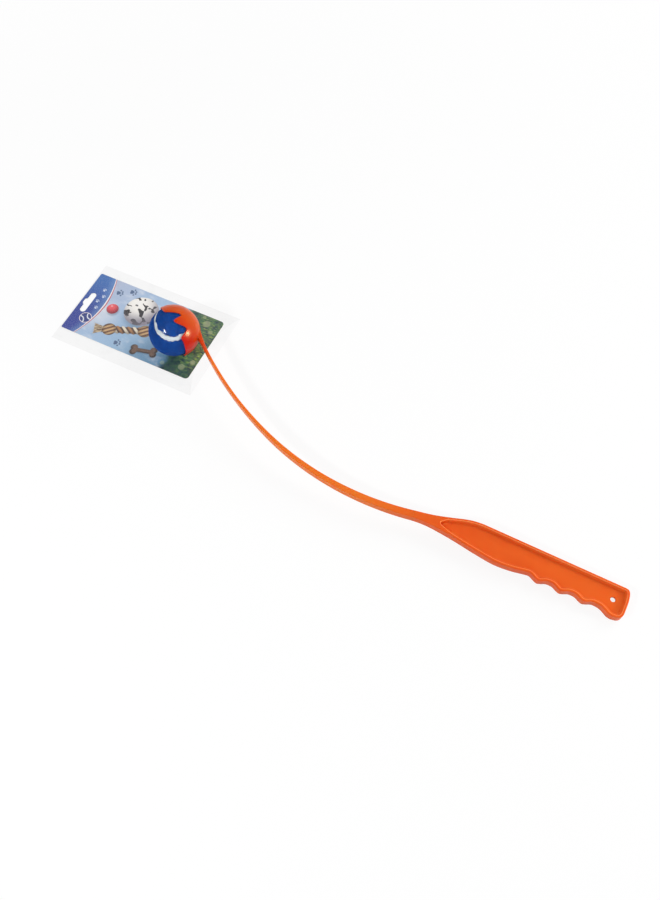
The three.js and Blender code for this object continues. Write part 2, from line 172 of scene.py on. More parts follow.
class Shader:
    """A material, or the light from all round, and the nodes that make it."""

    def __init__(self, name: str, world: bool = False) -> None:
        """Starts an empty node tree.

        Args:
            name: its name.
            world: whether it is the light from all round instead of a material.
        """
        self.last_node = "ShaderNodeOutputWorld" if world else "ShaderNodeOutputMaterial"
        self.owner = (bpy.data.worlds if world else bpy.data.materials).new(name)
        self.owner.use_nodes = True
        self.tree = self.owner.node_tree
        self.tree.nodes.clear()

    def node(
        self,
        kind: str,
        settings: dict | None = None,
        sockets: dict | None = None,
        output: int | str = 0,
    ) -> Union[Link, Signal]:
        """Adds a node.

        Args:
            kind: the node's type.
            settings: its properties, set before its sockets; "stops" fills a colour ramp.
            sockets: values or links, by the name or number of the input.
            output: the name or number of the output that is wanted.

        Returns:
            The wrapped output: a Signal for a number, otherwise a Link. A tree's last node has no
            output, and the Link that it gives is empty.
        """
        node = self.tree.nodes.new(kind)
        for key, value in (settings or {}).items():
            if key == "stops":
                self._fill_ramp(node.color_ramp, value)
            else:
                setattr(node, key, value)
        for key, value in (sockets or {}).items():
            self._fill_socket(node.inputs[key], value)
        socket = node.outputs[output] if node.outputs else None
        is_number = socket is not None and socket.type == "VALUE"
        return (Signal if is_number else Link)(self, socket)

    def _fill_socket(self, socket: bpy.types.NodeSocket, value: Value) -> None:
        """Links or sets an input.

        Args:
            socket: the input.
            value: a link, a number, a vector, or a colour as a code or as three numbers.
        """
        if isinstance(value, Link):
            self.tree.links.new(value.socket, socket)
        elif socket.type == "RGBA":
            socket.default_value = (*(linear(value) if isinstance(value, str) else value), 1.0)
        else:
            socket.default_value = value

    @staticmethod
    def _fill_ramp(ramp: bpy.types.ColorRamp, stops: Sequence[tuple[float, str]]) -> None:
        """Writes a ramp's stops.

        Args:
            ramp: the ramp, which starts with two stops.
            stops: a place and a colour for each stop.
        """
        while len(ramp.elements) < len(stops):
            ramp.elements.new(0.5)
        for element, (place, code) in zip(ramp.elements, stops):
            element.position = place
            element.color = (*linear(code), 1.0)

    def place(self) -> Link:
        """The point on the surface, in the row frame at rest, in metres."""
        return self.node("ShaderNodeTexCoord", output="Object")

    def axes(self, vector: Link) -> tuple[Signal, Signal, Signal]:
        """The three numbers of a vector."""
        split = self.node("ShaderNodeSeparateXYZ", sockets={0: vector})
        return split.beside(0), split.beside(1), split.beside(2)

    def point(self, x: Value, y: Value, z: Value = 0.0) -> Link:
        """A vector from three numbers."""
        return self.node("ShaderNodeCombineXYZ", sockets={0: x, 1: y, 2: z})

    def stretched(self, vector: Link, factors: Trio) -> Link:
        """A vector multiplied axis by axis."""
        return self.node("ShaderNodeVectorMath", {"operation": "MULTIPLY"}, {0: vector, 1: factors})

    def away(self, vector: Link, spot: Trio) -> Signal:
        """How far a vector ends from a fixed point."""
        return self.node("ShaderNodeVectorMath", {"operation": "DISTANCE"}, {0: vector, 1: spot}, "Value")

    def grain(self, size: float, vector: Link, detail: float = 2.0, rough: float = 0.5) -> Signal:
        """Soft noise with features of about a given size.

        Args:
            size: the size of a feature, in the units of vector.
            vector: where the noise is read.
            detail: how many finer layers are added.
            rough: how strong the finer layers are.

        Returns:
            A number from 0 to 1, mostly near a half.
        """
        sockets = {"Vector": vector, "Scale": 1 / size, "Detail": detail, "Roughness": rough}
        return self.node("ShaderNodeTexNoise", sockets=sockets)

    def blend(self, share: Value, first: Value, second: Value) -> Link:
        """A colour between two: the first where share is 0, the second where it is 1."""
        return self.node("ShaderNodeMix", {"data_type": "RGBA"}, {0: share, 6: first, 7: second}, 2)

    def bump(self, height: Signal, depth: float, normal: Link | None = None) -> Link:
        """A normal tilted by a height pattern.

        Args:
            height: the pattern, from 0 to 1.
            depth: how far 1 stands above 0, in metres.
            normal: a normal to add to, if any.

        Returns:
            The tilted normal.
        """
        sockets = {"Height": height, "Distance": depth, "Strength": 1.0}
        if normal is not None:
            sockets["Normal"] = normal
        return self.node("ShaderNodeBump", sockets=sockets)

    def facing(self) -> Signal:
        """0 where the surface is seen square on, 1 at its outline; for gloss."""
        return self.node("ShaderNodeLayerWeight", sockets={"Blend": 0.5}, output="Facing")

    def seen(self) -> Signal:
        """1 for rays that the camera, a reflection or a see-through piece sends, otherwise 0."""
        path = self.node("ShaderNodeLightPath", output="Is Camera Ray")
        return path.most(path.beside("Is Glossy Ray")).most(path.beside("Is Transmission Ray"))

    def surface(self, **sockets: Value) -> bpy.types.Material:
        """Ends the material with one principled surface.

        Args:
            sockets: its inputs, with an underscore for each space in their names.

        Returns:
            The finished material.
        """
        named = {key.replace("_", " "): value for key, value in sockets.items()}
        return self.finish(self.node("ShaderNodeBsdfPrincipled", sockets=named))

    def finish(self, surface: Link) -> bpy.types.ID:
        """Joins a surface to the tree's last node, and returns the finished material or world."""
        self.node(self.last_node, sockets={"Surface": surface})
        return self.owner


# Where it lies


@dataclass(frozen=True)
class Stance:
    """Where the thrower lies in the row frame.

    Attributes:
        centre: the middle of the ball, in millimetres.
        tilt: how far the grip end dips below the head, in radians.
    """

    centre: Trio = (-240.8909, 17.9520, 34.8659)
    tilt: float = 0.0459377

    @property
    def head(self) -> Trio:
        """The middle of the ball, in metres."""
        x, y, z = self.centre
        return x * MM, y * MM, z * MM

    def to_row(self, points: Points) -> Points:
        """Carries points from the thrower's axes, in mm, into the row frame, in metres."""
        turn = np.array(Matrix.Rotation(self.tilt, 3, "Y"))
        return (points @ turn.T + np.array(self.centre)) * MM

    def upright(self, points: Points) -> Points:
        """Carries points that aren't tilted with the thrower, in mm, into the row frame."""
        return (points + np.array([self.centre[0], self.centre[1], 0.0])) * MM


# Finishes


@dataclass(frozen=True)
class MouldedPlastic:
    """Orange polypropylene as it comes out of the mould. Lengths are in metres.

    Attributes:
        base: colour of the plastic.
        deep: colour where the pigment lies thicker.
        thin: colour of the slender arm, painted paler for the light that passes through it.
        cup_lit_tone: painted colour of the cup's lit side, towards the back of the thrower.
        cup_shade_tone: painted shade of the cup towards its belly.
        painted_highlight_and_fluff: colour of the mouth of the pockets, paler as a painted highlight
            along its rounded edge.
        roughness: how matt the surface is where it is smoothest.
        matt_shares: how much the uneven gloss, the grain and the scuffs add to that.
        shine: strength of its reflections.
        bend: how strongly it bends light.
        glow: how much light passes through the skin.
        travel: how far red, green and blue light travel below the skin.
        flow_size: size of the drifts of pigment.
        flow_stretch: factors on X, Y and Z that draw the drifts out.
        flow_ends: noise values between which the deep colour comes in.
        sheen_size: size of the patches of uneven gloss.
        pore_size: size of the finest grain.
        pore_depth: how deep that grain is.
        scuff_size: width of the scuffs, which run along the thrower.
        scuff_stretch: factors on X, Y and Z that draw the scuffs out.
        scuff_ends: noise values between which a scuff comes in.
        line_ends: distances from the middle plane between which the mould line rises.
        line_height: how far the mould line stands out.
        arm_ends: the places along X between which the grip's colour turns into the arm's.
        head_ends: the distances from the head between which the arm's colour turns into the cup's.
        cup_shade_ends: the places along Y between which the cup's painted lit tone turns into its painted
            shade.
        stance: where the moulding lies; the halves of its mould met along its middle plane.
    """

    base: str = "e4621f"
    deep: str = "dd581a"
    thin: str = "e67524"
    cup_lit_tone: str = "d45008"
    cup_shade_tone: str = "ca1600"
    painted_highlight_and_fluff: str = "fb8c50"
    roughness: float = 0.23
    matt_shares: Trio = (0.1, 0.06, 0.08)
    shine: float = 0.14
    bend: float = 1.49
    glow: float = 0.45
    travel: Trio = (0.0045, 0.001, 0.0004)
    flow_size: float = 0.03
    flow_stretch: Trio = (0.35, 1.0, 1.0)
    flow_ends: Pair = (0.35, 0.7)
    sheen_size: float = 0.006
    pore_size: float = 0.0007
    pore_depth: float = 0.00001
    scuff_size: float = 0.004
    scuff_stretch: Trio = (0.08, 1.0, 1.0)
    scuff_ends: Pair = (0.6, 0.72)
    line_ends: Pair = (0.00032, 0.00008)
    line_height: float = 0.00012
    arm_ends: Pair = (0.16, 0.07)
    head_ends: Pair = (0.075, 0.035)
    cup_shade_ends: Pair = (0.034, 0.002)
    stance: Stance = Stance()

    def _mould_line(self, shader: Shader) -> Signal:
        """A pattern that is 1 on the plane where the halves of the mould met.

        Args:
            shader: the material that it is part of.

        Returns:
            The pattern.
        """
        x, _, z = shader.axes(shader.place())
        left, _, height = self.stance.head
        off = (x - left) * math.sin(self.stance.tilt) + (z - height) * math.cos(self.stance.tilt)
        return abs(off).step(*self.line_ends)

    def material(self, name: str = "orange_moulding") -> bpy.types.Material:
        """Builds the material.

        Args:
            name: its name.

        Returns:
            The finished material.
        """
        shader = Shader(name)
        place = shader.place()
        flow = shader.grain(self.flow_size, shader.stretched(place, self.flow_stretch))
        sheen = shader.grain(self.sheen_size, place)
        pores = shader.grain(self.pore_size, place, detail=3.0, rough=0.6)
        drawn = shader.stretched(place, self.scuff_stretch)
        scuffs = shader.grain(self.scuff_size, drawn, detail=4.0, rough=0.7)
        x, y, _ = shader.axes(place)
        near_head = shader.away(place, self.stance.head).step(*self.head_ends)
        colour = shader.blend(flow.step(*self.flow_ends), self.base, self.deep)
        # The arm is painted paler, for the light that passes through its thin plastic.
        colour = shader.blend(x.step(*self.arm_ends), colour, self.thin)
        # The cup's colour is painted light and shade: lighter towards the back, in shade towards its
        # belly.
        cup = shader.blend(y.step(*self.cup_shade_ends), self.cup_lit_tone, self.cup_shade_tone)
        line = self._mould_line(shader)
        sheen_share, pore_share, scuff_share = self.matt_shares
        matt = self.roughness + sheen_share * sheen + pore_share * pores
        return shader.surface(
            Base_Color=shader.blend(near_head, colour, cup),
            Roughness=matt + scuff_share * scuffs.step(*self.scuff_ends),
            Normal=shader.bump(line, self.line_height, shader.bump(pores, self.pore_depth)),
            IOR=self.bend,
            Specular_IOR_Level=self.shine,
            Subsurface_Weight=self.glow,
            Subsurface_Radius=self.travel,
            Subsurface_Scale=1.0,
        )


@dataclass(frozen=True)
class NeedledFelt:
    """Blue needled felt of the ball. Lengths are in metres.

    Attributes:
        pile: painted colour of the lit tips of the pile.
        root: colour between the fibres, a painted shade.
        fuzz: colour of the sheen along the outline.
        tuft_size: size of the tufts that lie one way.
        tuft_stretch: factors on X, Y and Z that draw them out.
        cross_size: size of the tufts that lie across them.
        cross_stretch: factors on X, Y and Z that draw those out.
        clump_size: size of the felted clumps.
        clump_share: how much the clumps count in the colour.
        lit_ends: noise values between which the root's colour turns into the tips'.
        roughness: how matt the felt is.
        shine: strength of its reflections.
        sheen: strength of the sheen along the outline, and how matt that is.
        depth: how deep the tufts are.
    """

    pile: str = "1053ae"
    root: str = "0a2c6c"
    fuzz: str = "6f93dd"
    tuft_size: float = 0.0011
    tuft_stretch: Trio = (1.0, 0.55, 1.0)
    cross_size: float = 0.0009
    cross_stretch: Trio = (0.5, 1.0, 0.8)
    clump_size: float = 0.006
    clump_share: float = 0.25
    lit_ends: Pair = (0.48, 0.78)
    roughness: float = 0.95
    shine: float = 0.1
    sheen: Pair = (0.08, 0.5)
    depth: float = 0.0006

    def material(self) -> bpy.types.Material:
        """Builds the material.

        Returns:
            The finished material.
        """
        shader = Shader("blue_felt")
        place = shader.place()
        one_way = shader.stretched(place, self.tuft_stretch)
        tufts = shader.grain(self.tuft_size, one_way, detail=5.0, rough=0.7)
        other_way = shader.stretched(place, self.cross_stretch)
        cross = shader.grain(self.cross_size, other_way, detail=4.0, rough=0.7)
        clumps = shader.grain(self.clump_size, place)
        nap = tufts * 0.5 + cross * 0.5
        # Painted light and shade: noise gives lit tips of the pile over shaded roots.
        lit = (nap + self.clump_share * clumps).step(*self.lit_ends)
        sheen, sheen_roughness = self.sheen
        return shader.surface(
            Base_Color=shader.blend(lit, self.root, self.pile),
            Roughness=self.roughness,
            Specular_IOR_Level=self.shine,
            Sheen_Weight=sheen,
            Sheen_Roughness=sheen_roughness,
            Sheen_Tint=self.fuzz,
            Normal=shader.bump(nap, self.depth),
        )


@dataclass(frozen=True)
class CuredSeam:
    """Off-white cured rubber of the ball's seam. Lengths are in metres.

    Attributes:
        clean: colour of the rubber.
        painted_highlight_and_fluff: colour where felt fluff has stuck to it.
        fluff_size: size of the flecks of fluff.
        patch_size: size of the patches that hold more of it.
        stuck_shares: how much the flecks and the patches count.
        stuck_ends: values between which the fluff shows.
        roughness: how matt the rubber is, and how much the fluff adds.
        depth: how far the fluff stands up.
    """

    clean: str = "e1e9ee"
    painted_highlight_and_fluff: str = "b7c5d3"
    fluff_size: float = 0.0012
    patch_size: float = 0.005
    stuck_shares: Pair = (0.6, 0.4)
    stuck_ends: Pair = (0.5, 0.66)
    roughness: Pair = (0.75, 0.2)
    depth: float = 0.0005

    def material(self) -> bpy.types.Material:
        """Builds the material.

        Returns:
            The finished material.
        """
        shader = Shader("pale_seam")
        place = shader.place()
        fluff = shader.grain(self.fluff_size, place, detail=4.0, rough=0.65)
        patches = shader.grain(self.patch_size, place, detail=1.0)
        fleck_share, patch_share = self.stuck_shares
        stuck = (fluff * fleck_share + patches * patch_share).step(*self.stuck_ends)
        matt, added = self.roughness
        return shader.surface(
            Base_Color=shader.blend(stuck, self.clean, self.painted_highlight_and_fluff),
            Roughness=matt + added * fluff,
            Normal=shader.bump(fluff, self.depth),
        )


@dataclass(frozen=True)
class CoreRubber:
    """Black moulded rubber of the ball's core. Lengths are in metres.

    Attributes:
        base: colour of the rubber.
        dusted: colour under the moulding powder.
        powder_size: size of the patches of powder.
        powder_ends: noise values between which the powder shows.
        roughness: how matt the rubber is, and how much the powder adds.
        pore_size: size of the pores.
        pore_depth: how deep the pores are.
    """

    base: str = "2c2a2a"
    dusted: str = "4d4a48"
    powder_size: float = 0.004
    powder_ends: Pair = (0.4, 0.75)
    roughness: Pair = (0.72, 0.2)
    pore_size: float = 0.0006
    pore_depth: float = 0.00008

    def material(self) -> bpy.types.Material:
        """Builds the material.

        Returns:
            The finished material.
        """
        shader = Shader("core_rubber")
        place = shader.place()
        powder = shader.grain(self.powder_size, place, detail=4.0, rough=0.6)
        matt, added = self.roughness
        return shader.surface(
            Base_Color=shader.blend(powder.step(*self.powder_ends), self.base, self.dusted),
            Roughness=matt + added * powder,
            Normal=shader.bump(shader.grain(self.pore_size, place), self.pore_depth),
        )


@dataclass(frozen=True)
class ClearFilm:
    """Clear polypropylene film of the bag. Lengths are in metres.

    Attributes:
        tint: share of each colour that it turns back of the light it stops.
        shine: share of light that the film stops where it is seen square on.
        rim: share that it adds towards its outline.
        rim_power: how closely that keeps to the outline.
        haze: how blurred its reflections are.
        fold_shares: how much a crease adds to the haze and to the light that the film stops.
        taut_ends: distances from the head between which the taut film turns slack.
        taut_share: how much of the relief is left where the film is taut.
        crease_size: size of the creases.
        crease_stretch: factors on X, Y and Z that draw the creases out.
        crease_ends: noise values between which a crease comes in.
        ripple_size: size of the ripples between them.
        wave_shares: how much the creases and the ripples count in the relief.
        depth: how deep the relief is.
        stance: where the head lies.
    """

    tint: Colour = (0.14, 0.14, 0.14)
    shine: float = 0.035
    rim: float = 0.02
    rim_power: float = 6.0
    haze: float = 0.17
    fold_shares: Pair = (0.08, 0.02)
    taut_ends: Pair = (0.034, 0.06)
    taut_share: float = 0.06
    crease_size: float = 0.011
    crease_stretch: Trio = (0.6, 1.0, 1.0)
    crease_ends: Pair = (0.5, 0.78)
    ripple_size: float = 0.035
    wave_shares: Pair = (0.4, 0.6)
    depth: float = 0.0016
    stance: Stance = Stance()

    def material(self) -> bpy.types.Material:
        """Builds the material.

        Returns:
            The finished material.
        """
        shader = Shader("clear_film")
        place = shader.place()
        left, middle, _ = self.stance.head
        flat = shader.stretched(place, (1.0, 1.0, 0.0))
        slack = shader.away(flat, (left, middle, 0.0)).step(*self.taut_ends)
        drawn = shader.stretched(place, self.crease_stretch)
        creases = shader.grain(self.crease_size, drawn, detail=3.0, rough=0.55)
        ripple = shader.grain(self.ripple_size, place, detail=1.0)
        folds = creases.step(*self.crease_ends) * slack
        crease_share, ripple_share = self.wave_shares
        relief = self.taut_share + (1 - self.taut_share) * slack
        waves = (creases * crease_share + ripple * ripple_share) * relief
        haze_share, stop_share = self.fold_shares
        rim = self.rim * shader.facing() ** self.rim_power
        return shader.surface(
            Base_Color=self.tint,
            Metallic=1.0,
            Roughness=self.haze + haze_share * folds,
            Alpha=(self.shine + rim + stop_share * folds).least(1.0),
            Normal=shader.bump(waves, self.depth),
        )


class Print(Enum):
    """Which face of the shop card is dressed."""

    FRONT = "front"
    BACK = "back"


class Motif(Enum):
    """Small drawings made of discs: place and radius of each, as shares of the drawing's size."""

    PAW = (
        (0.0, -0.08, 0.27),
        (-0.15, -0.2, 0.17),
        (0.15, -0.2, 0.17),
        (-0.42, 0.2, 0.12),
        (-0.16, 0.43, 0.135),
        (0.16, 0.43, 0.135),
        (0.42, 0.2, 0.12),
    )
    BONE = (
        *((side * 0.4, up * 0.1, 0.135) for side in (-1, 1) for up in (-1, 1)),
        *((share, 0.0, 0.095) for share in np.linspace(-0.34, 0.34, 9).tolist()),
    )


class Canvas:
    """The card's face while its print is laid on it, in mm along and across the card."""

    def __init__(self, shader: Shader, origin: Pair) -> None:
        """Starts with a bare white board.

        Args:
            shader: the material that the print is part of.
            origin: the corner where both measures start, in the row frame, in metres.
        """
        self.shader = shader
        x, y, _ = shader.axes(shader.place())
        self.along = (x - origin[0]) / MM
        self.across = (y - origin[1]) / MM
        self.spot = shader.point(self.along, self.across)
        self.art: Value = "ffffff"

    def tint(self, share: Value, colour: Value) -> None:
        """Mixes a share of a colour into the print."""
        self.art = self.shader.blend(share, self.art, colour)

    def lay(self, outside: Signal, colour: Value, soft: float = 0.35) -> None:
        """Lays a colour where a distance is below zero, with an edge of a given softness."""
        self.tint(outside.step(soft, -soft), colour)

    def away(self, x: float, y: float) -> Signal:
        """Distance from a place."""
        return self.shader.away(self.spot, (x, y, 0.0))

    def motif(self, motif: Motif, x: float, y: float, size: float, turn: float) -> Signal:
        """Distance outside a small drawing.

        Args:
            motif: what is drawn.
            x: where it stands along the card.
            y: where it stands across the card.
            size: its size.
            turn: its turn, in degrees.

        Returns:
            The distance.
        """
        c, s = math.cos(math.radians(turn)), math.sin(math.radians(turn))
        found = []
        for a, b, radius in motif.value:
            off = self.away(x + size * (a * c - b * s), y + size * (a * s + b * c))
            found.append(off - size * radius)
        return reduce(Signal.least, found)

    def run(self, start: Pair, end: Pair) -> tuple[Signal, Signal]:
        """Measures from a straight line.

        Args:
            start: where the line starts.
            end: where it ends.

        Returns:
            The distance along the line from its start, and to the side of it.
        """
        length = math.dist(start, end)
        dx, dy = (end[0] - start[0]) / length, (end[1] - start[1]) / length
        x, y = self.along - start[0], self.across - start[1]
        return x * dx + y * dy, y * dx - x * dy

    def shadow(self, outside: Signal, reach: float) -> None:
        """Darkens the print round a shape, as under a thing that lies on it."""
        self.tint(outside.step(reach, -reach) * 0.45, "35506e")

    def ball(self, x: float, y: float, radius: float, lit: str, shaded: str, spots: str = "") -> None:
        """Draws a ball with light from its upper left.

        Args:
            x: where it stands along the card.
            y: where it stands across the card.
            radius: its radius.
            lit: colour of its lit side.
            shaded: colour of its shaded side.
            spots: colour of its spots, if it has any.
        """
        shader = self.shader
        self.shadow(self.away(x + 0.22 * radius, y - 0.3 * radius) - radius, radius * 0.3)
        turned = self.away(x - 0.38 * radius, y + 0.4 * radius) / (1.5 * radius)
        body = shader.blend(turned.step(0.2, 1.0), lit, shaded)
        if spots:
            patches = shader.grain(9.0, self.spot, detail=1.5, rough=0.35).step(0.555, 0.575)
            body = shader.blend(patches, body, spots)
            body = shader.blend(turned.step(0.45, 1.05) * 0.45, body, shaded)
        self.lay(self.away(x, y) - radius, body)
        self.lay(self.away(x - 0.4 * radius, y + 0.45 * radius), "ffffff", 0.34 * radius)

    def rope(self, start: Pair, end: Pair, width: float) -> None:
        """Draws a toy of twisted rope with a knot and a tassel near each end.

        Args:
            start: one end of the rope.
            end: the other end.
            width: how wide the rope is.
        """
        shader = self.shader
        u, v = self.run(start, end)
        length = math.dist(start, end)
        strand = (u * (9.4 / width) + v * (7.0 / width)).sine()
        cream = (u * (4.7 / width) + v * (3.5 / width) + 0.8).sine()
        colour = shader.blend(strand.step(-0.9, 0.7), "4c2f22", "b07f52")
        colour = shader.blend(cream.step(0.45, 0.75), colour, "eadfc9")
        colour = shader.blend((v / width).step(0.1, -0.5) * 0.6, colour, "3a2419")
        spread = abs(u - length / 2) - length / 2
        body = (abs(v) - width / 2 - 0.06 * width * strand).most(spread)
        hairs = shader.grain(0.9, shader.point(u * 0.12, v))
        tassel = (abs(v) - width * 0.42 - spread * 0.35).most(spread - width * (0.75 + 0.5 * hairs))
        self.shadow(body.least(tassel) + 0.1 * width, width * 0.45)
        self.lay(tassel, shader.blend(hairs.step(0.4, 0.6), "5a3a28", "d9c3a0"), 0.4)
        self.lay(body, colour, 0.3)
        wrap = (v * (11.0 / width) - u * (5.0 / width)).sine()
        for share in (0.14, 0.86):
            x = start[0] + (end[0] - start[0]) * share
            y = start[1] + (end[1] - start[1]) * share
            off = self.away(x, y)
            knot = shader.blend(wrap.step(-0.8, 0.8), "6d4630", "d2ac7c")
            knot = shader.blend((off / width).step(0.4, 0.95) * 0.65, knot, "33201a")
            self.lay(off - width * 0.86, knot, 0.3)


@dataclass(frozen=True)
class PrintedCard:
    """Varnished print on a white board: a blue header over toys on a pale sky and a meadow.

    Places and sizes on the card are in mm, along it from its header edge and across it from its
    low side.

    Attributes:
        origin: the header corner of the card's face, in the row frame, in metres.
        length: length of the card.
        width: width of the card.
        wave_size: size of the soft noise that bends the sky and the meadow.
        sky: places, as shares, and colours of the sky from the header to the far end.
        sky_shares: how the sky's place grows along the card, falls across it and follows the noise,
            and where it starts.
        cloud_size: size of the clouds.
        cloud_stretch: factors along and across the card that draw them out.
        cloud_ends: noise values between which a cloud comes in.
        cloud_share: how strong the clouds are.
        glow: place and radius of a glow in the sky.
        glow_core: radius within which it is full.
        glow_share: how strong it is.
        meadow: where the meadow starts.
        meadow_slant: how far that place moves across the card, as a share.
        meadow_waves: length and reach of the edge's waves, and how far the noise bends it.
        meadow_soft: how softly the edge fades.
        blade_size: width of the blades of grass.
        blade_stretch: factors along and across the card that draw them out.
        blade_ends: noise values between which a light blade comes in.
        blade_depths: how far inside the meadow the light blades come in.
        tuft_size: size of the tufts.
        tuft_ends: noise values between which a tuft comes in.
        dusk: how far across the card its low side is dark, as a share, and how dark.
        flowers: place, radius and strength of each pale dot in the meadow.
        trail: place and turn, in degrees, of each paw print below the header.
        trail_size: size of those prints.
        bone: place, length and turn, in degrees, of the bone.
        spotted_ball: place and radius of the large ball.
        red_ball: place and radius of the small ball.
        rope: the rope's two ends.
        rope_width: how wide the rope is.
        header: where the header's edge would lie if it were straight.
        header_bow: how far the edge bows, towards the far end.
        header_line: width of its red and white line in the middle, and what it loses to the ends.
        header_line_shares: how far out the red line and the white one reach.
        header_trail: place of each small paw print on the header.
        header_size: size of the small prints.
        header_ball: place and radius of the small ball on the header.
        fibre_size: size of the board's fibres, in metres.
        fibre_depths: how deep they are on the face and on the back, in metres.
        fleck_size: size of the flecks on its back, in metres.
        face_roughness: how matt the face is, and how much the fibres add.
        back_roughness: the same for the back.
        varnish: strength of the varnish on the face, and how matt it is.
    """

    origin: Pair = (-0.395991, -0.021148)
    length: float = 192.7
    width: float = 100.4
    wave_size: float = 22.0
    sky: tuple[tuple[float, str], ...] = (
        (0.12, "b4bfd8"),
        (0.3, "a9c2e0"),
        (0.5, "9fc0de"),
        (0.68, "79a8cb"),
        (0.82, "3f7890"),
        (0.97, "20444f"),
    )
    sky_shares: tuple[float, float, float, float] = (0.72, 0.2, 0.14, 0.12)
    cloud_size: float = 26.0
    cloud_stretch: Trio = (1.0, 1.7, 1.0)
    cloud_ends: Pair = (0.5, 0.72)
    cloud_share: float = 0.6
    glow: Trio = (36.0, 40.0, 34.0)
    glow_core: float = 4.0
    glow_share: float = 0.5
    meadow: float = 150.0
    meadow_slant: float = 0.06
    meadow_waves: Trio = (9.0, 3.0, 14.0)
    meadow_soft: float = 5.0
    blade_size: float = 1.5
    blade_stretch: Trio = (0.22, 1.0, 1.0)
    blade_ends: Pair = (0.5, 0.62)
    blade_depths: Pair = (-12.0, -26.0)
    tuft_size: float = 7.0
    tuft_ends: Pair = (0.4, 0.62)
    dusk: Pair = (0.4, 0.6)
    flowers: tuple[tuple[float, float, float, float], ...] = (
        (172.0, 88.0, 5.0, 0.5),
        (183.0, 78.0, 3.2, 0.4),
        (176.0, 14.0, 4.4, 0.35),
        (150.0, 9.0, 3.0, 0.35),
        (186.0, 26.0, 3.6, 0.4),
        (164.0, 97.0, 2.6, 0.4),
    )
    trail: tuple[Trio, ...] = (
        (56.0, 91.0, -80.0),
        (40.0, 82.0, -65.0),
        (112.0, 90.0, -100.0),
        (80.0, 10.0, -70.0),
    )
    trail_size: float = 10.0
    bone: tuple[float, float, float, float] = (119.0, 14.0, 34.0, 14.0)
    spotted_ball: Trio = (83.0, 68.0, 23.5)
    red_ball: Trio = (46.0, 55.0, 8.2)
    rope: tuple[Pair, Pair] = ((51.0, 21.0), (113.0, 45.0))
    rope_width: float = 11.0
    header: float = 21.5
    header_bow: float = 10.0
    header_line: Pair = (1.5, 0.8)
    header_line_shares: Pair = (2.3, 1.3)
    header_trail: tuple[Pair, ...] = ((24.5, 47.0), (20.5, 57.0), (24.0, 67.0), (19.5, 77.0))
    header_size: float = 5.2
    header_ball: Trio = (21.0, 27.0, 7.5)
    fibre_size: float = 0.0012
    fibre_depths: Pair = (0.00002, 0.00005)
    fleck_size: float = 0.0025
    face_roughness: Pair = (0.26, 0.12)
    back_roughness: Pair = (0.8, 0.1)
    varnish: Pair = (0.25, 0.15)

    def _sky(self, canvas: Canvas, wave: Signal) -> None:
        """Prints the sky with its clouds.

        Args:
            canvas: the face that is printed.
            wave: large soft noise that bends the bands of the sky.
        """
        shader, along, across = canvas.shader, canvas.along, canvas.across
        along_share, across_share, wave_share, start_share = self.sky_shares
        depth = along * (along_share / self.length) - across * (across_share / self.width)
        depth = depth + wave * wave_share + start_share
        canvas.art = shader.node("ShaderNodeValToRGB", {"stops": self.sky}, {0: depth})
        drawn = shader.stretched(canvas.spot, self.cloud_stretch)
        cloud = shader.grain(self.cloud_size, drawn, detail=4.0)
        canvas.tint(cloud.step(*self.cloud_ends) * self.cloud_share, "e6ebf4")
        x, y, radius = self.glow
        canvas.tint(canvas.away(x, y).step(radius, self.glow_core) * self.glow_share, "eef0f5")

    def _meadow(self, canvas: Canvas, wave: Signal) -> None:
        """Prints the meadow at the far end, with its grass and flowers.

        Args:
            canvas: the face that is printed.
            wave: large soft noise that bends the meadow's edge.
        """
        shader, along, across = canvas.shader, canvas.along, canvas.across
        length, reach, bend = self.meadow_waves
        rolls = (across / length).sine() * reach + (wave - 0.5) * bend
        hill = self.meadow - along - across * self.meadow_slant + rolls
        drawn = shader.stretched(canvas.spot, self.blade_stretch)
        blades = shader.grain(self.blade_size, drawn, detail=3.0, rough=0.6)
        tufts = shader.grain(self.tuft_size, canvas.spot, detail=3.0).step(*self.tuft_ends)
        near = hill.step(*self.blade_depths)
        grass = shader.blend(tufts, "21474a", "46774f")
        grass = shader.blend(blades.step(*self.blade_ends) * near, grass, "8fb45a")
        dark, strength = self.dusk
        grass = shader.blend((across / self.width).step(dark, 0.0) * strength, grass, "17333a")
        canvas.lay(hill, grass, self.meadow_soft)
        for x, y, radius, share in self.flowers:
            canvas.tint((canvas.away(x, y) - radius).step(0.7, -0.7) * share, "c9d8a4")

    def _toys(self, canvas: Canvas) -> None:
        """Prints the trail of paw prints, the bone, the balls and the rope.

        Args:
            canvas: the face that is printed.
        """
        for x, y, turn in self.trail:
            canvas.lay(canvas.motif(Motif.PAW, x, y, self.trail_size, turn), "52698c", 0.3)
        x, y, length, turn = self.bone
        canvas.shadow(canvas.motif(Motif.BONE, x, y - 1.4, length, turn), 2.0)
        canvas.lay(canvas.motif(Motif.BONE, x, y, length, turn), "3d2c27", 0.3)
        lit = canvas.motif(Motif.BONE, x - 0.4, y + 0.8, length - 4.0, turn) + 0.6
        canvas.lay(lit, "7d5f4e", 1.4)
        canvas.ball(*self.spotted_ball, "fbf8f2", "8d8795", "1f1b1f")
        canvas.rope(*self.rope, self.rope_width)
        canvas.ball(*self.red_ball, "ef5a62", "8c1d33")

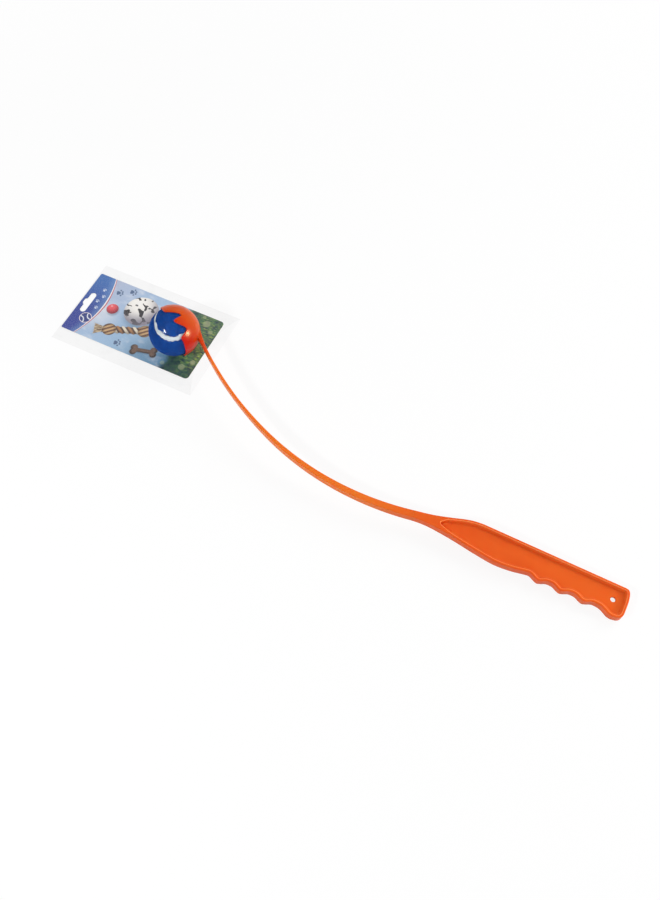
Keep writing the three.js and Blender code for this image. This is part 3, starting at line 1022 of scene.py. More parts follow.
    def _header(self, canvas: Canvas) -> None:
        """Prints the blue header: a bowed edge with a white and a red line, a ball and a trail.

        Args:
            canvas: the face that is printed.
        """
        shader = canvas.shader
        rise = canvas.across / self.width
        bow = rise * 2.0 - 1.1
        header = canvas.along - self.header - (1.0 - bow * bow) * self.header_bow
        widest, loss = self.header_line
        line = widest - abs(bow) * loss
        red_share, white_share = self.header_line_shares
        canvas.lay(header - line * red_share, "c2414c")
        canvas.lay(header - line * white_share, "f6f6f8")
        band = shader.blend(rise.step(0.25, 1.0), "2b3d96", "3a6cb2")
        band = shader.blend(header.step(-12.0, 0.0) * 0.4, band, "7aa0d2")
        canvas.lay(header, band, 0.25)
        for x, y in self.header_trail:
            canvas.lay(canvas.motif(Motif.PAW, x, y, self.header_size, -8.0), "cfdaf0", 0.25)
        x, y, radius = self.header_ball
        inside = canvas.away(x, y) - radius
        canvas.lay(inside - 0.12 * radius, "f3e6ea", 0.3)
        canvas.lay(inside, "26357f", 0.3)
        for side in (-0.88 * radius, 0.88 * radius):
            seam = abs(canvas.away(x + side, y + side) - 0.88 * radius) - 0.1 * radius
            canvas.lay(seam.most(inside), "e9eef8", 0.25)

    def material(self, face: Print) -> bpy.types.Material:
        """Builds the material of one face.

        Args:
            face: which face of the card it is for.

        Returns:
            The finished material.
        """
        shader = Shader(f"card_{face.value}")
        place = shader.place()
        face_depth, back_depth = self.fibre_depths
        drawn = shader.stretched(place, (1.0, 0.4, 1.0))
        fibres = shader.grain(self.fibre_size, drawn, detail=3.0, rough=0.6)
        matt, added = self.face_roughness if face is Print.FRONT else self.back_roughness
        if face is Print.BACK:
            flecks = shader.grain(self.fleck_size, place, detail=3.0)
            return shader.surface(
                Base_Color=shader.blend(flecks.step(0.4, 0.7), "eceae4", "d9d5cb"),
                Roughness=matt + added * fibres,
                Normal=shader.bump(fibres, back_depth),
            )
        canvas = Canvas(shader, self.origin)
        wave = shader.grain(self.wave_size, canvas.spot, detail=3.0)
        self._sky(canvas, wave)
        self._meadow(canvas, wave)
        self._toys(canvas)
        self._header(canvas)
        canvas.tint(fibres.step(0.3, 0.8) * 0.06, "ffffff")
        return shader.surface(
            Base_Color=canvas.art,
            Roughness=matt + added * fibres,
            Normal=shader.bump(fibres, face_depth),
            Coat_Weight=self.varnish[0],
            Coat_Roughness=self.varnish[1],
        )


@dataclass(frozen=True)
class StudioFloor:
    """White floor that keeps a faint shadow round the thrower.

    Attributes:
        dark: colour of its darkest specks.
        light: colour of its lightest specks.
        speck_size: size of the specks, in metres.
        white: share of plain white that is seen in place of the lit floor near the thrower.
        ends: distances from the middle between which it turns quite white, in metres.
    """

    dark: Colour = (0.93, 0.93, 0.93)
    light: Colour = (0.96, 0.96, 0.96)
    speck_size: float = 0.05
    white: float = 0.88
    ends: Pair = (0.55, 1.3)

    def material(self) -> bpy.types.Material:
        """Builds the material.

        Returns:
            The finished material.
        """
        shader = Shader("studio_floor")
        place = shader.place()
        pale = shader.blend(shader.grain(self.speck_size, place), self.dark, self.light)
        lit = shader.node("ShaderNodeBsdfDiffuse", sockets={"Color": pale})
        plain = shader.node("ShaderNodeEmission", sockets={"Color": (1.0, 1.0, 1.0)})
        away = shader.away(place, (0.0, 0.0, 0.0))
        share = shader.seen() * (self.white + (1 - self.white) * away.step(*self.ends))
        return shader.finish(shader.node("ShaderNodeMixShader", sockets={0: share, 1: lit, 2: plain}))


# Meshes


def heading(angle: float | Points) -> Points:
    """Unit vectors in flat directions, which are given in radians."""
    return np.stack([np.cos(angle), np.sin(angle)], axis=-1)


def circle(count: int) -> Points:
    """Points evenly round a circle of radius 1."""
    return heading(2 * np.pi * np.arange(count) / count)


def unit(vectors: Points) -> Points:
    """The same directions with a length of 1."""
    return vectors / np.linalg.norm(vectors, axis=1)[:, None]


def lifted(flat: Points, level: float) -> Points:
    """Flat points with a height."""
    return np.column_stack([flat, np.full(len(flat), level)])


def eased(share: Points) -> Points:
    """A share from 0 to 1 that starts and ends gently."""
    return share * share * (3 - 2 * share)


def spline(points: Sequence[Sequence[float]], steps: int) -> Points:
    """A smooth line through points, even in each span.

    Args:
        points: the points that it passes through.
        steps: how many parts each span is cut into.

    Returns:
        The line's points, ends included.
    """
    p = np.asarray(points, float)
    line = []
    for i in range(len(p) - 1):
        a, b, c, d = p[max(i - 1, 0)], p[i], p[i + 1], p[min(i + 2, len(p) - 1)]
        leave, arrive = (c - a) / 2, (d - b) / 2
        cubic = 2 * b - 2 * c + leave + arrive
        square = 3 * c - 3 * b - 2 * leave - arrive
        for t in np.arange(steps) / steps:
            line.append(cubic * t**3 + square * t**2 + leave * t + b)
    line.append(p[-1])
    return np.array(line)


def even(line: Points, spacing: float, closed: bool = False) -> Points:
    """The same line with its points a given distance apart.

    Args:
        line: the line's points.
        spacing: about how far apart the new points are.
        closed: whether the line's end joins its start.

    Returns:
        The new points.
    """
    path = np.vstack([line, line[:1]]) if closed else line
    run = np.concatenate([[0.0], np.cumsum(np.linalg.norm(np.diff(path, axis=0), axis=1))])
    count = max(int(round(run[-1] / spacing)), 3)
    places = np.linspace(0.0, run[-1], count + 1)
    points = np.stack([np.interp(places, run, path[:, k]) for k in range(path.shape[1])], axis=1)
    return points[:-1] if closed else points


def inward(line: Points, closed: bool = False) -> Points:
    """Unit directions to the left of a flat line.

    Args:
        line: the line's points.
        closed: whether its end joins its start.

    Returns:
        The direction at each point.
    """
    if closed:
        along = np.roll(line, -1, axis=0) - np.roll(line, 1, axis=0)
    else:
        along = np.vstack([line[1:], line[-1:]]) - np.vstack([line[:1], line[:-1]])
    along = unit(along)
    return np.stack([-along[:, 1], along[:, 0]], axis=1)


class Shell:
    """Rings of points and the faces between them, on the way to one piece."""

    def __init__(self) -> None:
        """Starts with nothing in it."""
        self.points: list[Points] = []
        self.faces: list[tuple[int, ...]] = []
        self.slots: list[int] = []
        self.fills: list[tuple[list[list[int]], int]] = []
        self.count = 0

    def ring(self, points: Points) -> list[int]:
        """Adds points.

        Args:
            points: the points.

        Returns:
            Their numbers.
        """
        numbers = list(range(self.count, self.count + len(points)))
        self.points.append(points)
        self.count += len(points)
        return numbers

    def face(self, numbers: Sequence[int], slot: int = 0) -> None:
        """Adds one face with the finish in a slot."""
        self.faces.append(tuple(numbers))
        self.slots.append(slot)

    def bridge(self, first: list[int], second: list[int], closed: bool = True, slot: int = 0) -> None:
        """Joins two rings of the same count with four-sided faces.

        Args:
            first: the numbers of one ring.
            second: the numbers of the other.
            closed: whether the last point joins the first.
            slot: the finish of the faces.
        """
        last = len(first) if closed else len(first) - 1
        for i in range(last):
            j = (i + 1) % len(first)
            self.face((first[i], first[j], second[j], second[i]), slot)

    def bridges(self, rings: Sequence[list[int]], closed: bool = True, slot: int = 0) -> None:
        """Joins each ring to the next."""
        for first, second in zip(rings, rings[1:]):
            self.bridge(first, second, closed, slot)

    def fan(self, ring: list[int], tip: list[int]) -> None:
        """Closes a ring with triangles to one point."""
        for i, number in enumerate(ring):
            self.face((number, ring[(i + 1) % len(ring)], *tip))

    def fill(self, loops: list[list[int]], slot: int = 0) -> None:
        """Closes the flat area inside the first loop and outside the others."""
        self.fills.append((loops, slot))

    def piece(
        self,
        name: str,
        carry: Callable[[Points], Points],
        materials: Sequence[bpy.types.Material],
        sharp: float = 40.0,
    ) -> bpy.types.Object:
        """Makes the object.

        Args:
            name: its name.
            carry: turns its points into the row frame, in metres.
            materials: its finishes, in the order of the slots.
            sharp: edges with a larger angle than this stay crisp, in degrees.

        Returns:
            The new object, linked to the scene.
        """
        mesh = bpy.data.meshes.new(name)
        mesh.from_pydata(carry(np.vstack(self.points)).tolist(), [], self.faces)
        mesh.polygons.foreach_set("material_index", self.slots)
        for material in materials:
            mesh.materials.append(material)
        self._close(mesh)
        mesh.shade_smooth()
        mesh.set_sharp_from_angle(angle=math.radians(sharp))
        made = bpy.data.objects.new(name, mesh)
        bpy.context.scene.collection.objects.link(made)
        shading = made.modifiers.new("even_shading", "WEIGHTED_NORMAL")
        shading.keep_sharp = True
        log.info("%s: %d points, %d faces", name, len(mesh.vertices), len(mesh.polygons))
        return made

    def _close(self, mesh: bpy.types.Mesh) -> None:
        """Fills the flat areas of a mesh and turns its faces outwards.

        Args:
            mesh: the mesh, which already has the points and the other faces.
        """
        work = bmesh.new()
        work.from_mesh(mesh)
        work.verts.ensure_lookup_table()
        for loops, slot in self.fills:
            pairs = [pair for loop in loops for pair in zip(loop, loop[1:] + loop[:1])]
            edges = [self._edge(work, a, b) for a, b in pairs]
            made = bmesh.ops.triangle_fill(work, use_beauty=True, use_dissolve=False, edges=edges)
            for item in made["geom"]:
                if isinstance(item, bmesh.types.BMFace):
                    item.material_index = slot
        bmesh.ops.recalc_face_normals(work, faces=work.faces)
        work.to_mesh(mesh)
        work.free()

    @staticmethod
    def _edge(work: bmesh.types.BMesh, a: int, b: int) -> bmesh.types.BMEdge:
        """The edge between two points, made if it isn't there."""
        ends = (work.verts[a], work.verts[b])
        return work.edges.get(ends) or work.edges.new(ends)


# Thrower


@dataclass
class Moulding:
    """The thrower's moulding: cup, arm and grip, made as surfaces that meet without a gap.

    Attributes:
        stance: where it lies.
        inner: radius of the hollow of the cup.
        outer: radius of the cup's outside.
        opening_angle: how far the opening is turned from -X, in degrees.
        rim: angle round the opening and angle from it, in degrees, of each claw and dip.
        cup_columns: how many points there are round the cup.
        cup_rows: how many rings run from the cup's pole to its rim.
        cup_crowding: how strongly those rings crowd towards the rim; 1 is evenly spaced.
        lip_steps: how many parts the rounded lip has.
        root_angle: where the arm leaves the cup, in degrees.
        root_fillet: radius of the fillet between arm and cup.
        root_steps: how many rings the fillet has.
        root_depth: how far the arm reaches into the wall of the cup.
        root_lead: how far past the fillet the arm still follows the cup's curve.
        root_runs: between which places along the arm it meets a sphere round the ball.
        root_halvings: how often that stretch is halved to find the place.
        arm_angle: the arm's first direction, in degrees.
        arm_rings: how many rings the rest of the arm has.
        arcs: radius and sweep, in degrees, of the arm's two arcs.
        widths: width of the arm at the cup and at the grip.
        heights: thickness of the moulding at the cup and at the grip.
        even_share: share of the arm that keeps its first width.
        flare: extra width at the cup, and how far it reaches along the arm.
        rounding: radius of the long edges.
        corner_steps: how many parts each rounded edge has.
        grip_length: length of the grip.
        grip_depth: depth of the grip, from its back to its belly.
        back_rise: height of the grip's back above the arm.
        pommel_length: length of the grip past the finger grooves.
        fingers: how many ridges stand between the finger grooves.
        finger_pitch: distance between grooves.
        finger_groove: depth of a groove.
        finger_steps: how many parts the outline has from one groove to the next.
        finger_power: how much narrower than a wave the ridges between the grooves are.
        groove_share: where the bottom of the grooves lies, as a share of the depth.
        back_shares: outline of the back, from the arm: share of the length, share of the depth.
        belly_shares: outline of the belly, from the arm to the first groove.
        pommel_shares: outline of the belly past the last groove.
        end_shares: outline of the end, from the belly to the back.
        nose_shares: outline of the pocket's nose, from the belly to the back.
        curve_steps: how many parts each span of these outlines has.
        spacing: distance between points round the grip and the pocket.
        lead: how far the grip's outline follows the arm before it starts.
        rim_wall: wall between the outline of the grip and its pockets.
        web: thickness between the two pockets.
        mouth: how the pocket's wall rounds over: how far in, and how far from the grip's face.
        pocket_slope: how far the pocket's wall leans.
        pocket_foot: radius of the fillet along the pocket's floor.
        foot_steps: how many parts that fillet has.
        nose_reach: how far from its nose the pocket's slope and fillet become whole.
        nose_share: share of them that is left at the nose.
        hole: radius of the hang hole, distance from the end and from the back.
        hole_lip: how the hole's edge rounds over: how far out, and how far from the floor.
        hole_points: how many points there are round the hole.
        grip_sharp: edges of the grip with a larger angle than this stay crisp, in degrees.
    """

    stance: Stance
    inner: float = 32.3
    outer: float = 34.1
    opening_angle: float = 53.0
    rim: tuple[Pair, ...] = (
        (0, 94),
        (22, 93.5),
        (35, 91.5),
        (50, 110),
        (77, 90.5),
        (85, 112),
        (113, 81),
        (180, 84),
    )
    cup_columns: int = 240
    cup_rows: int = 26
    cup_crowding: float = 1.25
    lip_steps: int = 8
    root_angle: float = 14.0
    root_fillet: float = 2.4
    root_steps: int = 7
    root_depth: float = 0.8
    root_lead: float = 1.5
    root_runs: Pair = (-12.0, 14.0)
    root_halvings: int = 40
    arm_angle: float = -41.5
    arm_rings: int = 100
    arcs: tuple[Pair, Pair] = ((487.0, 19.8), (356.5, 33.2))
    widths: Pair = (3.5, 9.3)
    heights: Pair = (8.5, 11.0)
    even_share: float = 0.3
    flare: Pair = (3.0, 16.0)
    rounding: float = 1.0
    corner_steps: int = 5
    grip_length: float = 261.0
    grip_depth: float = 39.6
    back_rise: float = 20.55
    pommel_length: float = 33.2
    fingers: int = 3
    finger_pitch: float = 27.2
    finger_groove: float = 4.2
    finger_steps: int = 6
    finger_power: float = 1.4
    groove_share: float = 0.829
    back_shares: tuple[Pair, ...] = (
        (0.082, 0.399),
        (0.158, 0.242),
        (0.22, 0.099),
        (0.263, 0.029),
        (0.304, 0),
    )
    belly_shares: tuple[Pair, ...] = (
        (0.146, 0.722),
        (0.352, 0.789),
        (0.557, 0.898),
        (0.729, 0.964),
        (0.866, 0.927),
    )
    pommel_shares: tuple[Pair, ...] = ((0.19, 0.85), (0.35, 0.91), (0.49, 0.976), (0.65, 1.0))
    end_shares: tuple[Pair, ...] = (
        (0.84, 0.965),
        (0.94, 0.9),
        (0.988, 0.8),
        (1, 0.6),
        (1, 0.42),
        (0.988, 0.27),
        (0.958, 0.135),
        (0.925, 0.066),
        (0.862, 0.016),
        (0.78, 0),
    )
    nose_shares: tuple[Pair, ...] = ((0.168, 0.663), (0.126, 0.54), (0.152, 0.347))
    curve_steps: int = 10
    spacing: float = 0.9
    lead: float = 12.0
    rim_wall: float = 3.2
    web: float = 3.0
    mouth: tuple[Pair, ...] = ((-0.9, 0.0), (-0.62, 0.07), (-0.3, 0.28), (-0.07, 0.62), (0.0, 0.9))
    pocket_slope: float = 1.6
    pocket_foot: float = 2.3
    foot_steps: int = 9
    nose_reach: float = 16.0
    nose_share: float = 0.12
    hole: Trio = (3.0, 16.6, 18.2)
    hole_lip: tuple[Pair, ...] = ((0.5, 0.0), (0.15, 0.15), (0.0, 0.5))
    hole_points: int = 48
    grip_sharp: float = 32.0

    def __post_init__(self) -> None:
        """Works out where the grip starts and ends."""
        (tip_radius, tip_sweep), (bow_radius, bow_sweep) = self.arcs
        self.tip_arc = tip_radius * math.radians(tip_sweep)
        self.arm_length = self.tip_arc + bow_radius * math.radians(bow_sweep)
        points, angles = self.centre_line(np.array([self.arm_length]))
        self.joint = points[0]
        self.joint_angle = float(angles[0])
        self.back = self.joint[1] + self.back_rise + self.widths[1] / 2
        self.end = self.joint[0] + self.grip_length

    def centre_line(self, run: Points) -> tuple[Points, Points]:
        """The arm's middle line.

        Args:
            run: distances from the cup.

        Returns:
            The points and the directions there, in radians.
        """
        (tip_radius, _), (bow_radius, _) = self.arcs
        start = math.radians(self.arm_angle)
        tip = np.clip(run, 0, self.tip_arc) / tip_radius
        bow = np.maximum(run - self.tip_arc, 0) / bow_radius
        points = self.outer * heading(math.radians(self.root_angle))
        points = points + np.minimum(run, 0)[:, None] * heading(np.full_like(run, start))
        points = points + (2 * tip_radius * np.sin(tip / 2))[:, None] * heading(start + tip / 2)
        bow_start = start + tip
        points = points + (2 * bow_radius * np.sin(bow / 2))[:, None] * heading(bow_start + bow / 2)
        return points, bow_start + bow

    def _corners(self) -> Points:
        """The points of the arm's section.

        Returns:
            Across sign, up sign and rounding direction of each point.
        """
        rows = []
        for corner, (across, up) in enumerate([(1, 1), (-1, 1), (-1, -1), (1, -1)]):
            for i in range(self.corner_steps + 1):
                turn = (corner + i / self.corner_steps) * math.pi / 2
                rows.append((across, up, math.cos(turn), math.sin(turn)))
        return np.array(rows)

    def arm_ring(self, run: Points) -> Points:
        """One ring of the arm.

        Args:
            run: distance from the cup of each of its points.

        Returns:
            The ring's points.
        """
        across, up, cos, sin = self._corners().T
        share = np.maximum(run / self.arm_length - self.even_share, 0) / (1 - self.even_share)
        near = np.maximum(1 - np.maximum(run, 0) / self.flare[1], 0)
        width = self.widths[0] + (self.widths[1] - self.widths[0]) * share + self.flare[0] * near**2
        way = np.maximum(run, 0) / self.arm_length
        height = self.heights[0] + (self.heights[1] - self.heights[0]) * way
        points, angles = self.centre_line(run)
        reach = across * (width / 2 - self.rounding) + self.rounding * cos
        lift = up * (height / 2 - self.rounding) + self.rounding * sin
        x = points[:, 0] - np.sin(angles) * reach
        y = points[:, 1] + np.cos(angles) * reach
        return np.stack([x, y, lift], axis=1)

    def arm_ring_at(self, radius: float, swell: float) -> Points:
        """The ring of the arm that lies at a distance from the middle of the ball.

        Args:
            radius: that distance.
            swell: how far the ring is spread out over the sphere of that radius.

        Returns:
            The ring's points.
        """
        low, high = (np.full(len(self._corners()), run) for run in self.root_runs)
        for _ in range(self.root_halvings):
            run = (low + high) / 2
            beyond = np.linalg.norm(self.arm_ring(run), axis=1) > radius
            low, high = np.where(beyond, low, run), np.where(beyond, run, high)
        ring = self.arm_ring((low + high) / 2)
        away = ring - ring.mean(axis=0)
        away -= ring * (np.sum(away * ring, axis=1) / radius**2)[:, None]
        return unit(ring + unit(away) * swell) * radius

    def arm(self, material: bpy.types.Material) -> bpy.types.Object:
        """The arm, flared into the cup by a fillet.

        Args:
            material: its finish.

        Returns:
            The piece.
        """
        shell = Shell()
        fillet = self.root_fillet
        rings = [self.arm_ring_at(self.outer - self.root_depth, fillet)]
        for share in np.linspace(0.0, 1.0, self.root_steps):
            swell = fillet - math.sqrt(fillet**2 - (fillet - fillet * share) ** 2)
            rings.append(self.arm_ring_at(self.outer + fillet * share, swell))
        rings.append(self.arm_ring_at(self.outer + fillet + self.root_lead, 0.0))
        for run in np.linspace(self.flare[1], self.arm_length, self.arm_rings):
            rings.append(self.arm_ring(np.full(len(rings[0]), run)))
        numbers = [shell.ring(points) for points in rings]
        shell.bridges(numbers)
        shell.face(numbers[0])
        shell.face(numbers[-1][::-1])
        return shell.piece("throwing_arm", self.stance.to_row, [material])

    def rim_angle(self, place: float) -> float:
        """How far from the opening's axis the cup ends, in radians.

        Args:
            place: angle round the opening, in degrees; its sign doesn't matter.

        Returns:
            The angle, eased between the claws and the dips.
        """
        place = abs(place)
        i = next((k for k, (at, _) in enumerate(self.rim) if at >= place and k), 1)
        (start, low), (end, high) = self.rim[i - 1], self.rim[i]
        ease = (1 - math.cos(math.pi * (place - start) / (end - start))) / 2
        return math.radians(low + (high - low) * ease)

    def cup(self, material: bpy.types.Material) -> bpy.types.Object:
        """The cup, with a rounded lip round its claws.

        Args:
            material: its finish.

        Returns:
            The piece.
        """
        turn = math.radians(self.opening_angle)
        opening = np.array([-math.cos(turn), -math.sin(turn), 0.0])
        side = np.array([math.sin(turn), -math.cos(turn), 0.0])
        up = np.array([0.0, 0.0, 1.0])
        around = 2 * np.pi * np.arange(self.cup_columns) / self.cup_columns - np.pi
        outward = np.outer(np.cos(around), side) + np.outer(np.sin(around), up)
        lip = (self.outer - self.inner) / 2
        middle = self.inner + lip
        ends = np.array([self.rim_angle(math.degrees(a)) for a in around]) + lip / middle

        def ring(radius: float, away: Points) -> Points:
            """Points at a radius and an angle from the opening's axis."""
            wide = (radius * np.sin(away))[:, None]
            return np.outer(radius * np.cos(away), opening) + wide * outward

        shell = Shell()
        rings = []
        for radius in (self.outer, self.inner):
            levels = 1 - (1 - np.linspace(0, 1, self.cup_rows + 1)[1:]) ** self.cup_crowding
            face = [shell.ring(ring(radius, np.pi + (ends - np.pi) * level)) for level in levels]
            shell.fan(face[0], shell.ring(-radius * opening[None]))
            rings.append(face)
        tip = []
        for step in range(1, self.lip_steps):
            curl = math.pi * step / self.lip_steps
            away = ends - lip * math.sin(curl) / middle
            tip.append(shell.ring(ring(middle + lip * math.cos(curl), away)))
        shell.bridges([*rings[0], *tip, *rings[1][::-1]])
        return shell.piece("claw_cup", self.stance.to_row, [material])

    def _shares(self, shares: Sequence[Sequence[float]], start: float, end: float) -> Points:
        """Outline points from shares of a stretch of the grip and of its depth."""
        along, deep = np.asarray(shares, float).T
        return np.stack([start + (end - start) * along, self.back - deep * self.grip_depth], axis=1)

    def outline(self, nose: Points, inset: float) -> tuple[Points, Points, Points]:
        """Lines round the grip, or round a pocket set in from it.

        Args:
            nose: the nose's points, from the belly's side to the back's.
            inset: how far the line lies inside the grip's outline.

        Returns:
            The belly's line, the end's line and the back's line, in order.
        """
        start, finger_end = self.joint[0], self.end - self.pommel_length
        finger_start = finger_end - self.fingers * self.finger_pitch
        places = np.arange(self.fingers * self.finger_steps + 1)
        bumps = np.round((1 - np.cos(2 * np.pi * places / self.finger_steps)) / 2, decimals=9)
        depths = self.groove_share + bumps**self.finger_power * self.finger_groove / self.grip_depth
        low = [
            self._shares(self.belly_shares, start, finger_start),
            self._shares(np.stack([places / places[-1], depths], axis=1), finger_start, finger_end),
            self._shares(self.pommel_shares, finger_end, self.end),
        ]
        end = self._shares(self.end_shares, finger_end, self.end)
        back = self._shares(self.back_shares, start, self.end)[::-1]
        whole = np.vstack([*low, end, back])
        whole = whole + inset * inward(whole)
        back_start = len(whole) - len(back)
        end_start = back_start - len(end)
        first, last = whole[:end_start], whole[back_start:]
        return (
            np.vstack([nose[:1], first[first[:, 0] > nose[0][0]]]),
            whole[end_start - 1 : back_start],
            np.vstack([last[last[:, 0] > nose[0][0]], nose[-1:]]),
        )

    def _blade_line(self) -> Points:
        """The grip's outline.

        Returns:
            Its points, from the arm's lower corner round to its upper one.
        """
        along = heading(self.joint_angle)
        across = np.array([-along[1], along[0]]) * self.widths[1] / 2
        low, high = self.joint - across, self.joint + across
        belly, end, back = self.outline(np.array([low, high]), 0.0)
        steps = self.curve_steps
        first = spline([low - along * self.lead, *belly], steps)[steps:]
        last = spline([*back, high - along * self.lead], steps)[:-steps]
        return even(np.vstack([first, spline(end, steps)[1:], last]), self.spacing)

    def _pocket_line(self) -> Points:
        """The pocket's closed outline.

        Returns:
            Its points, from the nose along the belly.
        """
        nose = self._shares(self.nose_shares, self.joint[0], self.end)
        lines = [*self.outline(nose, self.rim_wall), nose[::-1]]
        whole = np.vstack([spline(points, self.curve_steps)[:-1] for points in lines])
        return even(whole, self.spacing, closed=True)

    def _blade(self, shell: Shell) -> tuple[list[int], list[int]]:
        """Makes the rounded side of the grip.

        Args:
            shell: the grip so far.

        Returns:
            The ring round its lower face and the ring round its upper one.
        """
        line = self._blade_line()
        into = inward(line)
        half, edge = self.heights[1] / 2, self.rounding
        turns = np.linspace(0, math.pi / 2, self.corner_steps + 1)
        levels = [(edge - edge * math.cos(t), half - edge + edge * math.sin(t)) for t in turns]
        levels = [(inset, -z) for inset, z in levels[::-1]] + levels
        sides = [shell.ring(lifted(line + into * inset, z)) for inset, z in levels]
        shell.bridges(sides, closed=False)
        shell.face([ring[0] for ring in sides] + [ring[-1] for ring in sides[::-1]])
        return sides[0], sides[-1]

    def grip(self, material: bpy.types.Material, mouth: bpy.types.Material) -> bpy.types.Object:
        """The grip: a rounded blade with a pocket in each face and the hang hole.

        Args:
            material: its finish.
            mouth: the finish of the rounded mouth of its pockets, which carries a painted highlight.

        Returns:
            The piece.
        """
        shell = Shell()
        faces = self._blade(shell)
        pocket = self._pocket_line()
        into = inward(pocket, closed=True)
        nose = pocket[np.argmin(pocket[:, 0])]
        far = np.linalg.norm(pocket - nose, axis=1) / self.nose_reach
        room = np.clip(far, self.nose_share, 1.0)[:, None]
        half, floor, foot = self.heights[1] / 2, self.web / 2, self.pocket_foot
        profile = [(inset, half - down) for inset, down in self.mouth]
        for t in np.linspace(0, math.pi / 2, self.foot_steps):
            inset = self.pocket_slope + foot - foot * math.cos(t)
            profile.append((inset, floor + foot - foot * math.sin(t)))
        radius, from_end, from_back = self.hole
        middle = np.array([self.end - from_end, self.back - from_back])
        bores = []
        for up, face in ((1, faces[1]), (-1, faces[0])):
            rings = []
            for inset, z in profile:
                reach = inset * (room if inset > 0 else 1.0)
                rings.append(shell.ring(lifted(pocket + into * reach, up * z)))
            lips = len(self.mouth)
            # The rounded lips carry the painted highlight.
            shell.bridges(rings[:lips], slot=1)
            shell.bridges(rings[lips - 1 :])
            shell.fill([face, rings[0]])
            bore = []
            for out, down in self.hole_lip:
                flat = middle + circle(self.hole_points) * (radius + out)
                bore.append(shell.ring(lifted(flat, up * (floor - down))))
            shell.bridges(bore)
            shell.fill([rings[-1], bore[0]])
            bores.append(bore[-1])
        shell.bridge(*bores)
        return shell.piece("finger_grip", self.stance.to_row, [material, mouth], self.grip_sharp)

    def build(self, finish: MouldedPlastic) -> None:
        """Makes the three pieces and puts them in the place of their nodes.

        Args:
            finish: the plastic that they are moulded in.
        """
        material = finish.material()
        # The pockets' mouths take a paler colour: a painted highlight along their rounded edge.
        mouth = replace(finish, base=finish.painted_highlight_and_fluff, deep=finish.painted_highlight_and_fluff).material("orange_mouth_highlight")
        made = {
            "grip_handle": self.grip(material, mouth),
            "flex_arm": self.arm(material),
            "ball_cup": self.cup(material),
        }
        for node, piece in made.items():
            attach(piece, "thrower")
            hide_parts(node)


# Ball


class Panel(Enum):
    """The two felt panels, by the side of the ball that each one's middle is on."""

    A = 1
    B = -1


